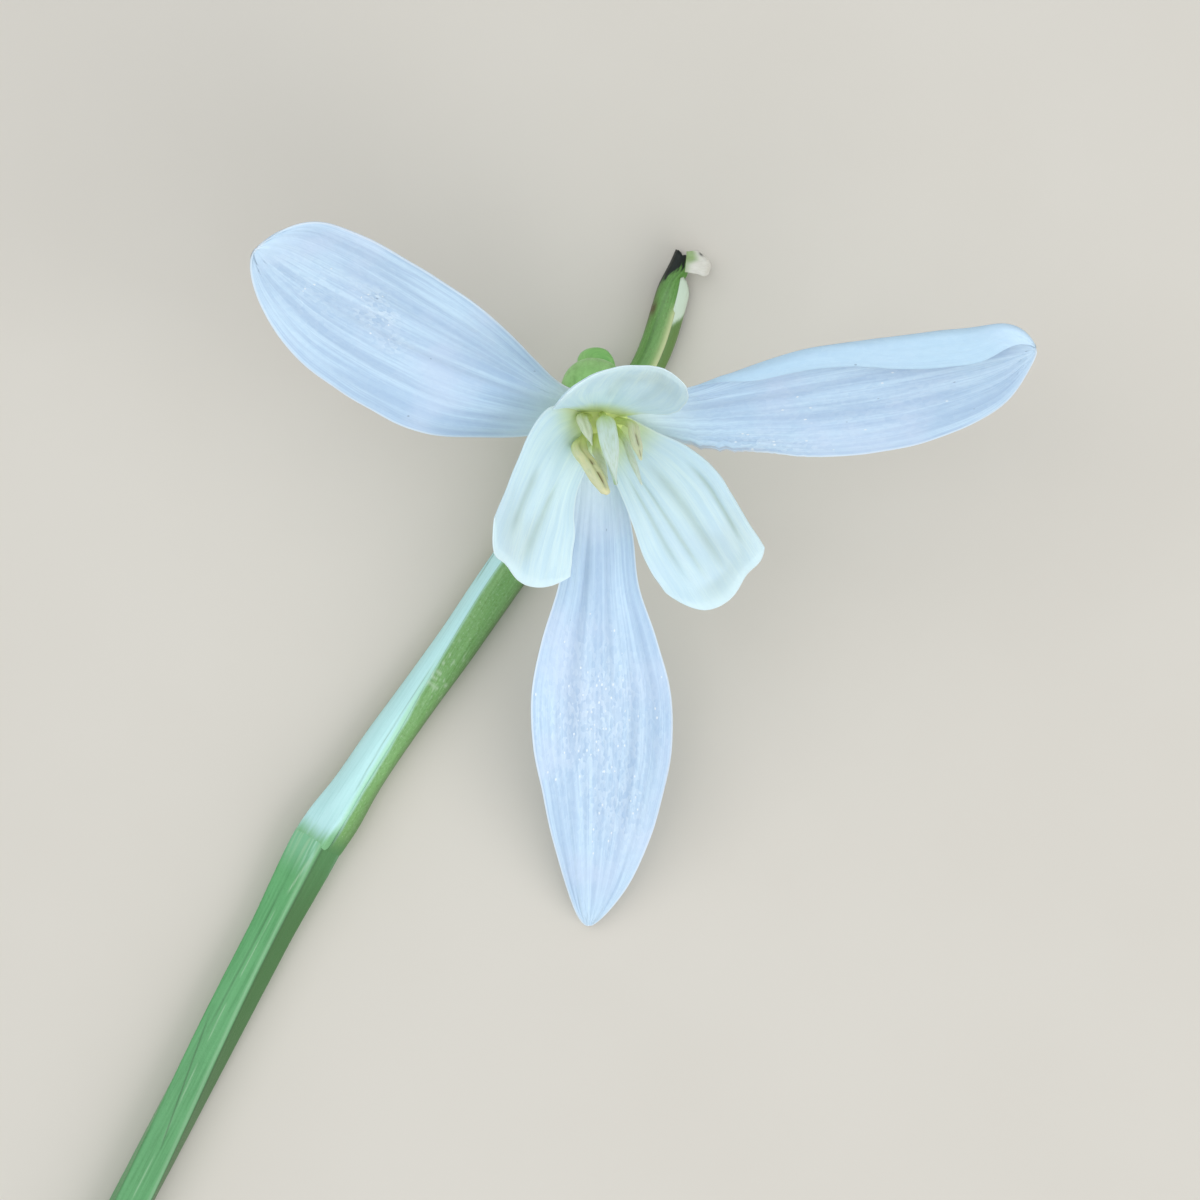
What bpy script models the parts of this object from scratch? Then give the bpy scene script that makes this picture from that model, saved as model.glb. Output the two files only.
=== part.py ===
"""A cut snowdrop flower, Galanthus peshmenii, lying on a flat surface.

The flower looks up and towards -Y, with +X to its right and +Z up. The origin lies on the
surface, straight below the middle of the flower, where the spathe rests on its flat underside.
Sizes are named at the top, in metres or in millimetres times MM, and angles are in degrees.
"""

import math
from dataclasses import dataclass, replace

import bmesh
import bpy
from mathutils import Matrix, Vector

MM = 0.001

# Thicknesses and gaps
BLADE_THICKNESS = 0.6 * MM
CONTACT_GAP = 0.3 * MM
MERGE_DISTANCE = 0.001 * MM

# Place of the flower: the middle of its receptacle, and the direction that it faces
FLOWER_CENTRE = Vector((0.0, 0.0, 9.0)) * MM
FLOWER_AXIS = Vector((0.12, -0.56, 0.82)).normalized()

# Ovary: distances behind the receptacle, each with the radius there
OVARY_PROFILE = (
    (0.05, 0.62), (0.62, 0.8), (0.98, 1.22), (1.5, 1.48), (2.3, 1.58), (3.1, 1.42), (3.8, 1.0), (4.2, 0.5),
)
OVARY_SIDES = 18

# Stamens and style. Each pair tells between which shares of a stamen's length the filament widens into the
# anther and the anther narrows to its point. The other shares shape its bulge: how far out it is at a quarter
# of its length, against its middle, and how far it has come in again at three quarters
DISC_RADIUS = 0.62 * MM
DISC_BOTTOM = 0.22 * MM
DISC_TOP = 0.56 * MM
FILAMENT_ROOT_RADIUS = 0.4 * MM
FILAMENT_THICKNESS = 0.32 * MM
ANTHER_WIDTH = 0.68 * MM
ANTHER_THICKNESS = 0.5 * MM
ANTHER_TIP_WIDTH = 0.14 * MM
ANTHER_WIDENS = (0.14, 0.26)
ANTHER_NARROWS = (0.5, 1.0)
STAMEN_QUARTER_SHARE = 0.93
STAMEN_INWARD_SHARE = 0.4
STAMEN_RINGS = 10
STAMEN_SIDES = 8
STYLE_TIP_HEIGHT = 6.3 * MM
STYLE_ROOT_RADIUS = 0.2 * MM
STYLE_TIP_RADIUS = 0.08 * MM
STYLE_RINGS = 6

# Scape: its middle line seen from above, from the spathe to the cut end, in millimetres
SCAPE_ROUTE = ((-13.8, -20.4), (-18.9, -30.1), (-23.9, -39.8), (-29.2, -49.5), (-34.8, -59.0), (-40.6, -68.4))
SCAPE_RADIUS = 0.98 * MM
SCAPE_TOP_RADIUS = 1.16 * MM
SCAPE_TAPER = 0.12
SCAPE_RIBS = 3
SCAPE_RIB_HEIGHT = 0.06 * MM
SCAPE_SIDES = 18
SCAPE_RINGS = 26

# Spathe: its middle line seen from above, from its root to its tip, in millimetres
SPATHE_ROUTE = (
    (-13.66, -20.2), (-10.5, -15.45), (-7.16, -10.85), (-3.95, -6.17), (-0.69, -1.49), (2.48, 3.24),
    (4.26, 8.6),
)
SPATHE_RADII = (1.17, 1.17, 1.15, 1.15, 1.05, 0.88, 0.84)
FLAT_DEPTH = 0.15 * MM
SHELL_ROWS = 26

# Pedicel: radius inside the spathe and at the hook, the stretch of the spathe that it runs in, the shares of
# its length between which it thickens, and its free route in millimetres
PEDICEL_INNER_RADIUS = 0.33 * MM
PEDICEL_HOOK_RADIUS = 0.38 * MM
PEDICEL_INSIDE_HEIGHT = 1.1 * MM
PEDICEL_INSIDE = (0.014, 0.54)
PEDICEL_INSIDE_POINTS = 8
PEDICEL_THICKENS = (0.55, 0.9)
PEDICEL_FREE_ROUTE = (
    (-2.2, -2.6, 1.75), (-1.6, -1.2, 2.6), (-0.75, 0.2, 3.0), (0.05, 1.5, 3.1), (0.38, 2.6, 3.35),
    (0.12, 3.18, 3.85), (-0.42, 3.22, 4.35), (-0.7, 2.9, 4.8),
)
PEDICEL_SIDES = 10
PEDICEL_RINGS_PER_POINT = 4

# Flap: the torn end of the membrane, curled over beside the spathe's tip
FLAP_ROOT = Vector((4.45, 8.1, 1.95)) * MM
FLAP_LENGTH = 1.25 * MM
FLAP_WIDTH = 1.15 * MM
FLAP_ALONG = Vector((0.2, 1.0, 0.0)).normalized()
FLAP_LEAN = -0.25
FLAP_CURL = (20.0, -75.0)
FLAP_TAPER = 0.75
FLAP_ROWS = 5
FLAP_COLUMNS = 4

# Tepals: steps of the sums along the midrib and across it, the shortest arc of a fold in millimetres, how
# fast a margin waves along the blade, how wide a notch is and how much closer the rows lie towards the tip
RIB_STEPS = 40
SECTION_STEPS = 20
SHORTEST_FOLD = 0.3
WAVE_RATE = 9.0
NOTCH_SPREAD = 0.33
ROW_CROWDING = 1.35

# Share of a route that its direction is read over
ROUTE_STEP = 0.01


def colour_of(code):
    """Linear colour with full opacity of an sRGB colour code such as "C7E4F9"."""
    values = [int(code[i : i + 2], 16) / 255 for i in (0, 2, 4)]
    linear = [v / 12.92 if v <= 0.04045 else ((v + 0.055) / 1.055) ** 2.4 for v in values]
    return (*linear, 1.0)


def material_of(name, code, roughness):
    """A plain Principled material."""
    material = bpy.data.materials.new(name)
    material.use_nodes = True
    surface = material.node_tree.nodes["Principled BSDF"]
    surface.inputs["Base Color"].default_value = colour_of(code)
    surface.inputs["Roughness"].default_value = roughness
    surface.inputs["Metallic"].default_value = 0.0
    return material


def smooth_curve(values, place):
    """The value at place (0 to 1) of a smooth curve through evenly spaced numbers or vectors."""
    last = len(values) - 1
    at = min(max(place, 0.0), 1.0) * last
    i = min(int(at), last - 1)
    t = at - i
    start = values[i]
    end = values[i + 1]
    before = values[i - 1] if i > 0 else start * 2 - end
    after = values[i + 2] if i + 2 <= last else end * 2 - start
    return 0.5 * (
        start * 2
        + (end - before) * t
        + (before * 2 - start * 5 + end * 4 - after) * t**2
        + (start * 3 - before - end * 3 + after) * t**3
    )


def smooth_step(value, low, high):
    """0 below low, 1 above high and a smooth rise between them."""
    t = min(max((value - low) / (high - low), 0.0), 1.0)
    return t * t * (3 - 2 * t)


def mixed(a, b, share):
    """The value that lies the share of the way from a to b."""
    return a + (b - a) * share


def object_of(name, shape, material, parent=None):
    """Puts a bmesh into a new, smoothly shaded object and frees it."""
    mesh = bpy.data.meshes.new(name)
    shape.to_mesh(mesh)
    shape.free()
    mesh.shade_smooth()
    mesh.materials.append(material)
    made = bpy.data.objects.new(name, mesh)
    bpy.context.scene.collection.objects.link(made)
    made.parent = parent
    return made


def blade_object(name, rows, material, parent=None, offset=0.0):
    """A blade: a grid of points split into triangles, then thickened by a Solidify modifier."""
    shape = bmesh.new()
    grid = [[shape.verts.new(point) for point in row] for row in rows]
    for near, far in zip(grid, grid[1:]):
        for a, b, c, d in zip(near, near[1:], far[1:], far):
            shape.faces.new((a, b, c))
            shape.faces.new((a, c, d))
    bmesh.ops.remove_doubles(shape, verts=shape.verts, dist=MERGE_DISTANCE)
    blade = object_of(name, shape, material, parent)
    solidify = blade.modifiers.new("Thickness", "SOLIDIFY")
    solidify.thickness = BLADE_THICKNESS
    solidify.offset = offset
    return blade


def tube_object(name, rings, material, parent=None):
    """A closed solid with its skin through rings of points and both ends capped."""
    shape = bmesh.new()
    loops = [[shape.verts.new(point) for point in ring] for ring in rings]
    for near, far in zip(loops, loops[1:]):
        for i, vertex in enumerate(near):
            j = (i + 1) % len(near)
            shape.faces.new((vertex, near[j], far[j], far[i]))
    shape.faces.new(loops[0])
    shape.faces.new(loops[-1])
    bmesh.ops.recalc_face_normals(shape, faces=shape.faces)
    return object_of(name, shape, material, parent)


def ring_round(centre, right, up, across, high, sides):
    """An ellipse of points round a centre."""
    turns = (2 * math.pi * i / sides for i in range(sides))
    return [centre + right * (across * math.cos(a)) + up * (high * math.sin(a)) for a in turns]


def path_frames(points):
    """Two directions square to the path at each of its points, carried along without a twist."""
    frames = []
    side = None
    for i, point in enumerate(points):
        ahead = (points[min(i + 1, len(points) - 1)] - points[max(i - 1, 0)]).normalized()
        if side is None:
            side = ahead.orthogonal().normalized()
        side = (side - ahead * side.dot(ahead)).normalized()
        frames.append((side, ahead.cross(side)))
    return frames


@dataclass(frozen=True)
class Roll:
    """A margin that rolls over towards the blade's inner face. Lengths are in millimetres.

    Each pair of places along the blade tells where the fold, or the strip past it, begins and is full,
    or where it begins to fade and is gone.
    """

    radius: float
    turn: float
    strip: float
    turn_rise: tuple
    strip_rise: tuple
    turn_fade: tuple
    strip_fade: tuple

    def turn_at(self, s):
        """How far the margin is rolled over, in radians."""
        share = smooth_step(s, *self.turn_rise) * (1 - smooth_step(s, *self.turn_fade))
        return math.radians(self.turn) * share

    def strip_at(self, s):
        """Width of the strip that lies over the blade past the fold."""
        return self.strip * smooth_step(s, *self.strip_rise) * (1 - smooth_step(s, *self.strip_fade))

    def overhang(self, s):
        """How much of the fold lies on the midrib's side of the blade's outline."""
        return self.radius * math.sin(min(self.turn_at(s), math.pi / 2))


@dataclass(frozen=True)
class Tepal:
    """One segment of the flower. Lengths are in millimetres and angles in degrees.

    The half-widths to the left and right of the midrib are given at even steps from root to tip.
    """

    name: str
    azimuth: float
    lean: float
    bend: float
    length: float
    left: tuple
    right: tuple
    sway: float = 0.0
    twist: float = 0.0
    cup: float = 3.0
    root_radius: float = 1.2
    root_height: float = -0.35
    tip_power: float = 0.0
    notch: float = 0.0
    notch_place: float = 0.0
    corner: float = 0.0
    wave: float = 0.0
    roll: Roll | None = None
    rows: int = 20
    columns_left: int = 5
    columns_right: int = 5

    def half_width(self, s, right_side):
        """Half-width of the flattened blade, closed to a round tip where tip_power isn't 0."""
        width = smooth_curve(self.right if right_side else self.left, s)
        if self.tip_power:
            width *= math.sqrt(max(1 - s**self.tip_power, 0.0))
        return width

    def arc_width(self, s, right_side):
        """Half-width measured along the blade, with what the rolled margin takes up."""
        width = self.half_width(s, right_side)
        if self.roll and right_side:
            width += self.roll.radius * self.roll.turn_at(s) - self.roll.overhang(s) + self.roll.strip_at(s)
        return width

    def turn_at(self, s, arc):
        """How far the cross-section has turned towards the inner face, at an arc from the midrib."""
        turn = math.radians(self.cup) * arc
        if self.roll and arc > 0:
            begin = self.half_width(s, True) - self.roll.overhang(s)
            fold = max(self.roll.turn_at(s) * self.roll.radius, SHORTEST_FOLD)
            turn += self.roll.turn_at(s) * smooth_step(arc, begin, begin + fold)
        return turn

    def section_point(self, s, v):
        """Distance across the blade and rise towards its inner face, at v from -1 to 1."""
        step = v * self.arc_width(s, v > 0) / SECTION_STEPS
        across = 0.0
        rise = self.wave * math.sin(WAVE_RATE * s + self.azimuth) * v * v * s * (1 - s)
        for k in range(SECTION_STEPS):
            turn = self.turn_at(s, (k + 0.5) * step)
            across += math.cos(turn) * step
            rise += math.sin(turn) * step
        return across, rise

    def rib_frame(self, s):
        """The midrib's point, the direction across the blade and that of its inner face."""
        point = Vector((self.root_radius, 0.0, self.root_height))
        for k in range(RIB_STEPS):
            along, _, _ = self.rib_directions(s * (k + 0.5) / RIB_STEPS)
            point += along * (s * self.length / RIB_STEPS)
        _, across, inner = self.rib_directions(s)
        twist = math.radians(self.twist)
        turned = across * math.cos(twist) + inner * math.sin(twist)
        return point, turned, inner * math.cos(twist) - across * math.sin(twist)

    def rib_directions(self, s):
        """Directions along the midrib, across the blade and out of its inner face."""
        lean = math.radians(self.lean + self.bend * s)
        sway = math.radians(self.sway * s)
        outward = Vector((math.sin(lean), 0.0, math.cos(lean)))
        side = Vector((0.0, 1.0, 0.0))
        inner = Vector((-math.cos(lean), 0.0, math.sin(lean)))
        return (
            outward * math.cos(sway) + side * math.sin(sway),
            side * math.cos(sway) - outward * math.sin(sway),
            inner,
        )

    def reach(self, s, v):
        """Place along the midrib of a row's point, drawn back at the notch and the corners."""
        notch = self.notch * math.exp(-(((v - self.notch_place) / NOTCH_SPREAD) ** 2))
        return s * (1 - (notch + self.corner * abs(v) ** 3) * s**3)

    def point(self, s, v):
        """A point of the blade's middle surface, in metres, in the flower's frame."""
        across, rise = self.section_point(s, v)
        rib, side, inner = self.rib_frame(self.reach(s, v))
        return (rib + side * across + inner * rise) * MM


OUTER_TEPALS = (
    Tepal(
        name="outer_tepal_lower", azimuth=2.5, lean=60.0, bend=28.3, sway=-1.8, length=25.0,
        left=(0.75, 1.55, 3.0, 3.45, 2.5, 1.4), right=(0.75, 1.45, 2.7, 3.7, 3.1, 1.35),
        cup=4.0, tip_power=4.2, wave=1.2,
    ),
    Tepal(
        name="outer_tepal_right", azimuth=110.0, lean=74.0, bend=-14.0, sway=10.5, length=20.4,
        left=(0.75, 3.05, 3.85, 4.1, 3.45, 1.7), right=(0.75, 0.55, 1.15, 1.3, 1.05, 1.6),
        cup=3.0, tip_power=10.0, rows=26, columns_right=12,
        roll=Roll(0.5, 165.0, 1.15, (0.1, 0.5), (0.2, 0.75), (0.93, 1.0), (0.8, 0.97)),
    ),
    Tepal(
        name="outer_tepal_left", azimuth=-118.0, lean=76.0, bend=-14.0, sway=-18.0, length=21.3,
        left=(0.75, 1.45, 2.85, 3.2, 3.15, 3.2), right=(0.75, 3.55, 3.95, 3.65, 2.6, 0.9),
        cup=5.0, tip_power=13.0, wave=0.8,
    ),
)

INNER_TEPAL = Tepal(
    name="", azimuth=0.0, lean=50.0, bend=-7.0, length=9.5, left=(), right=(), cup=8.0, root_radius=1.0,
    root_height=0.45, corner=0.16, rows=13, columns_left=6, columns_right=6,
)

INNER_TEPALS = (
    replace(
        INNER_TEPAL, name="inner_tepal_left", azimuth=-66.0, lean=42.0, bend=-6.0, sway=36.0, twist=6.5,
        length=8.5,
        left=(0.8, 1.7, 2.45, 2.65), right=(0.8, 1.9, 3.0, 3.2), notch=0.09, notch_place=-0.27,
    ),
    replace(
        INNER_TEPAL, name="inner_tepal_right", azimuth=48.5, lean=52.0, bend=-8.0, sway=-6.0, twist=-13.5,
        length=9.6,
        left=(0.8, 1.75, 2.4, 2.2), right=(0.8, 2.6, 2.8, 2.8), notch=0.05, notch_place=0.42,
    ),
    replace(
        INNER_TEPAL, name="inner_tepal_upper", azimuth=176.5, lean=46.0, bend=-6.0, twist=-3.0, length=9.3,
        cup=14.0,
        left=(0.8, 1.7, 2.7, 2.4), right=(0.8, 2.1, 3.3, 3.6), notch=0.04, notch_place=-0.2, corner=0.1,
    ),
)


@dataclass(frozen=True)
class Stamen:
    """A stamen: its azimuth in degrees, then its distance from the flower's axis half-way and at its tip and
    its height, in millimetres.
    """

    azimuth: float
    middle_radius: float
    tip_radius: float
    height: float


STAMENS = (
    Stamen(-66.0, 1.15, 0.52, 6.2),
    Stamen(-18.0, 0.98, 0.5, 5.5),
    Stamen(62.0, 1.15, 0.95, 5.7),
    Stamen(113.0, 1.2, 1.12, 4.5),
    Stamen(-178.0, 0.95, 0.5, 5.7),
    Stamen(-123.0, 1.2, 0.62, 5.1),
)


@dataclass(frozen=True)
class Shell:
    """A bract or skin of the spathe: the stretch that it covers, and its edges' angles round the spathe.

    Angle 0 is to the right of someone who looks along the spathe from its root, and 90 is up.
    """

    name: str
    begins: float
    ends: float
    first: tuple
    second: tuple
    columns: int


SPATHE_MAIN = Shell(
    "spathe_bract_main", 0.0, 1.0,
    (200, 200, 200, 200, 200, 200, 197, 150, 80, 74, 82),
    (332, 332, 332, 332, 332, 328, 322, 318, 314, 265, 150), 14,
)
SPATHE_SECOND = Shell(
    "spathe_bract_second", 0.0, 0.955,
    (-5, -5, -5, -5, -5, -5, -5, -4, -3, -3, 0), (80, 80, 80, 80, 80, 68, 47, 42, 41, 41, 38), 6,
)
SPATHE_MEMBRANE = Shell(
    "spathe_membrane", 0.0, 0.535,
    (104, 104, 104, 104, 104, 104), (177, 177, 177, 177, 177, 176), 5,
)


def flower_empty():
    """The empty that carries the flower: its Z is the flower's axis and its X the lower tepal's side."""
    towards_bottom = Vector((0.0, -1.0, 0.0))
    bottom = (towards_bottom - FLOWER_AXIS * towards_bottom.dot(FLOWER_AXIS)).normalized()
    columns = (bottom, FLOWER_AXIS.cross(bottom), FLOWER_AXIS)
    empty = bpy.data.objects.new("flower", None)
    empty.location = FLOWER_CENTRE
    empty.rotation_euler = Matrix(columns).transposed().to_euler()
    bpy.context.scene.collection.objects.link(empty)
    return empty


def add_tepal(tepal, material, flower):
    """A tepal, modelled along the flower's X and turned to its azimuth."""
    steps_left = [-1 + i / tepal.columns_left for i in range(tepal.columns_left)]
    steps_right = [i / tepal.columns_right for i in range(tepal.columns_right + 1)]
    places = [1 - (1 - i / tepal.rows) ** ROW_CROWDING for i in range(tepal.rows + 1)]
    rows = [[tepal.point(s, v) for v in steps_left + steps_right] for s in places]
    blade = blade_object(tepal.name, rows, material, flower)
    blade.rotation_euler = (0.0, 0.0, math.radians(tepal.azimuth))


def add_ovary(material, flower):
    """The ovary, turned round the flower's axis behind the tepals."""
    profile = [(Vector((0.0, 0.0, -depth)) * MM, radius * MM) for depth, radius in OVARY_PROFILE]
    across = Vector((1.0, 0.0, 0.0))
    up = Vector((0.0, 1.0, 0.0))
    rings = [ring_round(centre, across, up, radius, radius, OVARY_SIDES) for centre, radius in profile]
    tube_object("ovary", rings, material, flower)


def stamen_rings(stamen):
    """Rings of a stamen: a thin filament that leans out, then a flat anther that narrows to a point."""
    azimuth = math.radians(stamen.azimuth)
    outward = Vector((math.cos(azimuth), math.sin(azimuth), 0.0))
    tangent = Vector((-math.sin(azimuth), math.cos(azimuth), 0.0))
    root = FILAMENT_ROOT_RADIUS / MM
    foot = (DISC_BOTTOM + DISC_TOP) / 2 / MM
    middle = stamen.middle_radius
    inward = mixed(middle, stamen.tip_radius, STAMEN_INWARD_SHARE)
    radii = (root, middle * STAMEN_QUARTER_SHARE, middle, inward, stamen.tip_radius)
    rings = []
    for i in range(STAMEN_RINGS + 1):
        s = i / STAMEN_RINGS
        centre = outward * smooth_curve(radii, s) + Vector((0.0, 0.0, mixed(foot, stamen.height, s)))
        anther = smooth_step(s, *ANTHER_WIDENS)
        narrow = 1 - smooth_step(s, *ANTHER_NARROWS)
        width = mixed(FILAMENT_THICKNESS, mixed(ANTHER_TIP_WIDTH, ANTHER_WIDTH, narrow), anther)
        thickness = mixed(FILAMENT_THICKNESS, mixed(ANTHER_TIP_WIDTH, ANTHER_THICKNESS, narrow), anther)
        rings.append(ring_round(centre * MM, tangent, outward, width / 2, thickness / 2, STAMEN_SIDES))
    return rings


def add_stamens(material, flower):
    """The six stamens, joined to the disc that they grow from."""
    across = Vector((1.0, 0.0, 0.0))
    up = Vector((0.0, 1.0, 0.0))
    ends = (Vector((0.0, 0.0, DISC_BOTTOM)), Vector((0.0, 0.0, DISC_TOP)))
    rings = [ring_round(end, across, up, DISC_RADIUS, DISC_RADIUS, OVARY_SIDES) for end in ends]
    disc = tube_object("stamens", rings, material, flower)
    repeats = bpy.data.collections.new("Stamens to join")
    bpy.context.scene.collection.children.link(repeats)
    for stamen in STAMENS:
        single = tube_object("stamen", stamen_rings(stamen), material, flower)
        bpy.context.scene.collection.objects.unlink(single)
        repeats.objects.link(single)
    union = disc.modifiers.new("Join", "BOOLEAN")
    union.operation = "UNION"
    union.operand_type = "COLLECTION"
    union.collection = repeats
    bpy.context.view_layer.update()
    joined = bpy.data.meshes.new_from_object(disc.evaluated_get(bpy.context.evaluated_depsgraph_get()))
    disc.modifiers.remove(union)
    disc.data = joined
    for single in list(repeats.objects):
        bpy.data.objects.remove(single)
    bpy.data.collections.remove(repeats)


def add_style(material, flower):
    """The style, which narrows from the middle of the disc to the tips of the anthers."""
    bottom = DISC_TOP + CONTACT_GAP
    across = Vector((1.0, 0.0, 0.0))
    up = Vector((0.0, 1.0, 0.0))
    rings = []
    for i in range(STYLE_RINGS):
        share = i / (STYLE_RINGS - 1)
        radius = mixed(STYLE_ROOT_RADIUS, STYLE_TIP_RADIUS, share**2)
        centre = Vector((0.0, 0.0, mixed(bottom, STYLE_TIP_HEIGHT, share)))
        rings.append(ring_round(centre, across, up, radius, radius, STAMEN_SIDES))
    tube_object("style", rings, material, flower)


def on_surface(point):
    """The point, raised to the surface where it would lie below it: this flattens an underside."""
    return Vector((point.x, point.y, max(point.z, 0.0)))


def spathe_radius(t):
    """The spathe's outer radius."""
    return smooth_curve(SPATHE_RADII, t) * MM


def spathe_centre(t):
    """A point of the spathe's middle line, at t from 0 at its root to 1 at its tip."""
    flat = smooth_curve([Vector(point) for point in SPATHE_ROUTE], t) * MM
    return Vector((flat.x, flat.y, spathe_radius(t) - FLAT_DEPTH))


def spathe_right(t):
    """The level direction to the right of the spathe, seen along it from its root."""
    ahead = spathe_centre(min(t + ROUTE_STEP, 1.0)) - spathe_centre(max(t - ROUTE_STEP, 0.0))
    return ahead.cross(Vector((0.0, 0.0, 1.0))).normalized()


def spathe_point(t, angle):
    """A point of the spathe's outside."""
    radius = spathe_radius(t)
    turn = math.radians(angle)
    level = spathe_right(t) * (radius * math.cos(turn))
    return on_surface(spathe_centre(t) + level + Vector((0.0, 0.0, radius * math.sin(turn))))


def add_shell(shell, material):
    """A bract or skin of the spathe, thickened inwards from the spathe's outside."""
    count = max(round(SHELL_ROWS * (shell.ends - shell.begins)), 4)
    rows = []
    for i in range(count + 1):
        s = i / count
        first = smooth_curve(shell.first, s)
        second = smooth_curve(shell.second, s)
        angles = [mixed(second, first, j / shell.columns) for j in range(shell.columns + 1)]
        rows.append([spathe_point(mixed(shell.begins, shell.ends, s), angle) for angle in angles])
    blade_object(shell.name, rows, material, offset=-1.0)


def add_flap(material):
    """The curled white flap beside the spathe's tip."""
    rows = []
    for i in range(FLAP_ROWS + 1):
        s = i / FLAP_ROWS
        turn = math.radians(mixed(*FLAP_CURL, s))
        outward = Vector((math.cos(turn), FLAP_LEAN, math.sin(turn))).normalized() * (FLAP_LENGTH * s)
        half = FLAP_WIDTH / 2 * math.sqrt(1 - (FLAP_TAPER * s) ** 4)
        steps = [2 * j / FLAP_COLUMNS - 1 for j in range(FLAP_COLUMNS + 1)]
        rows.append([FLAP_ROOT + outward + FLAP_ALONG * (half * v) for v in steps])
    blade_object("spathe_membrane_flap", rows, material)


def pedicel_path():
    """Points of the pedicel, from the top of the scape through the spathe to the back of the ovary."""
    points = []
    for i in range(PEDICEL_INSIDE_POINTS):
        inside = spathe_centre(mixed(*PEDICEL_INSIDE, i / (PEDICEL_INSIDE_POINTS - 1)))
        points.append(Vector((inside.x, inside.y, PEDICEL_INSIDE_HEIGHT)))
    points += [Vector(point) * MM for point in PEDICEL_FREE_ROUTE]
    points.append(FLOWER_CENTRE - FLOWER_AXIS * (OVARY_PROFILE[-1][0] * MM + CONTACT_GAP))
    return points


def add_pedicel(material):
    """The flower's own stalk, thicker towards the hook behind the ovary."""
    route = pedicel_path()
    count = PEDICEL_RINGS_PER_POINT * (len(route) - 1)
    points = [smooth_curve(route, i / count) for i in range(count + 1)]
    rings = []
    for i, (point, (side, up)) in enumerate(zip(points, path_frames(points))):
        radius = mixed(PEDICEL_INNER_RADIUS, PEDICEL_HOOK_RADIUS, smooth_step(i / count, *PEDICEL_THICKENS))
        rings.append(ring_round(point, side, up, radius, radius, PEDICEL_SIDES))
    tube_object("pedicel", rings, material)


def add_scape(material):
    """The ribbed flower stalk, flat where it lies and a little thicker below the spathe."""
    route = [Vector(point) for point in SCAPE_ROUTE]
    rings = []
    for i in range(SCAPE_RINGS + 1):
        t = i / SCAPE_RINGS
        here = smooth_curve(route, t)
        ahead = smooth_curve(route, min(t + ROUTE_STEP, 1.0)) - smooth_curve(route, max(t - ROUTE_STEP, 0.0))
        level = Vector((ahead.y, -ahead.x, 0.0)).normalized()
        radius = mixed(SCAPE_TOP_RADIUS, SCAPE_RADIUS, smooth_step(t, 0.0, SCAPE_TAPER))
        centre = Vector((here.x * MM, here.y * MM, radius - FLAT_DEPTH))
        ring = []
        for k in range(SCAPE_SIDES):
            angle = 2 * math.pi * k / SCAPE_SIDES
            out = radius + SCAPE_RIB_HEIGHT * math.cos(SCAPE_RIBS * angle)
            point = centre + level * (out * math.cos(angle)) + Vector((0.0, 0.0, out * math.sin(angle)))
            ring.append(on_surface(point))
        rings.append(ring)
    tube_object("scape", rings, material)


def clear_scene():
    """Removes whatever the scene holds."""
    for item in list(bpy.data.objects):
        bpy.data.objects.remove(item)


def main():
    clear_scene()
    outer_white = material_of("Outer tepal white", "C7E0F4", 0.45)
    inner_white = material_of("Inner tepal mint white", "C4E2E8", 0.45)
    ovary_green = material_of("Ovary green", "82AD6F", 0.4)
    anther_yellow = material_of("Anther yellow", "D9D48F", 0.55)
    style_white = material_of("Style greenish white", "D3E3CC", 0.45)
    scape_green = material_of("Scape green", "6FA273", 0.4)
    bract_green = material_of("Main bract green", "689151", 0.4)
    bract_olive = material_of("Second bract olive", "6C8A4C", 0.45)
    membrane_mint = material_of("Membrane mint white", "B9E7E0", 0.5)

    flower = flower_empty()
    for tepal in OUTER_TEPALS:
        add_tepal(tepal, outer_white, flower)
    for tepal in INNER_TEPALS:
        add_tepal(tepal, inner_white, flower)
    add_ovary(ovary_green, flower)
    add_stamens(anther_yellow, flower)
    add_style(style_white, flower)
    add_pedicel(ovary_green)
    add_shell(SPATHE_MAIN, bract_green)
    add_shell(SPATHE_SECOND, bract_olive)
    add_shell(SPATHE_MEMBRANE, membrane_mint)
    add_flap(membrane_mint)
    add_scape(scape_green)


main()
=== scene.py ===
"""An open autumn snowdrop flower on its leafless stalk, cut and lying on a plain pale surface.

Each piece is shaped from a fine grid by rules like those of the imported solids, with blades about as thin as
real tissue, and dressed with a material that is built from nodes. Lengths are in millimetres where nothing
else is said, and a point is turned to metres when it is placed.
"""

import logging
import math
from dataclasses import dataclass
from enum import Enum
from functools import lru_cache
from typing import Any, Callable, TypeVar

import bpy
from mathutils import Matrix, Vector, noise


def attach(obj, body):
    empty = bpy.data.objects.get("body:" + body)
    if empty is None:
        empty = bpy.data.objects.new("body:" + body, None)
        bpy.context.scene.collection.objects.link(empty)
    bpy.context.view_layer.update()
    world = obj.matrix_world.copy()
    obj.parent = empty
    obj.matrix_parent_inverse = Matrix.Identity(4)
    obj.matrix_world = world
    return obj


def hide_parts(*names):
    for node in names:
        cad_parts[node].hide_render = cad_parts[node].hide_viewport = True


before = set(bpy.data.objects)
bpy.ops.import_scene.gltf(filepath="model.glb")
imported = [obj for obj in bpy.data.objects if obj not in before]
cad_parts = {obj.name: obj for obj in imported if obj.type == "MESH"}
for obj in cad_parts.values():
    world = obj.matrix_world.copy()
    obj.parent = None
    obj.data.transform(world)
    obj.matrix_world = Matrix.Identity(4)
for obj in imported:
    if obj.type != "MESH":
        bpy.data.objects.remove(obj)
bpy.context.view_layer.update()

LOG = logging.getLogger("snowdrop")
MM = 0.001
Amount = TypeVar("Amount", float, Vector)

FLOWER_CENTRE = Vector((0.0, 0.0, 9.0))
FLOWER_AXIS = Vector((0.12, -0.56, 0.82)).normalized()


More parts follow.
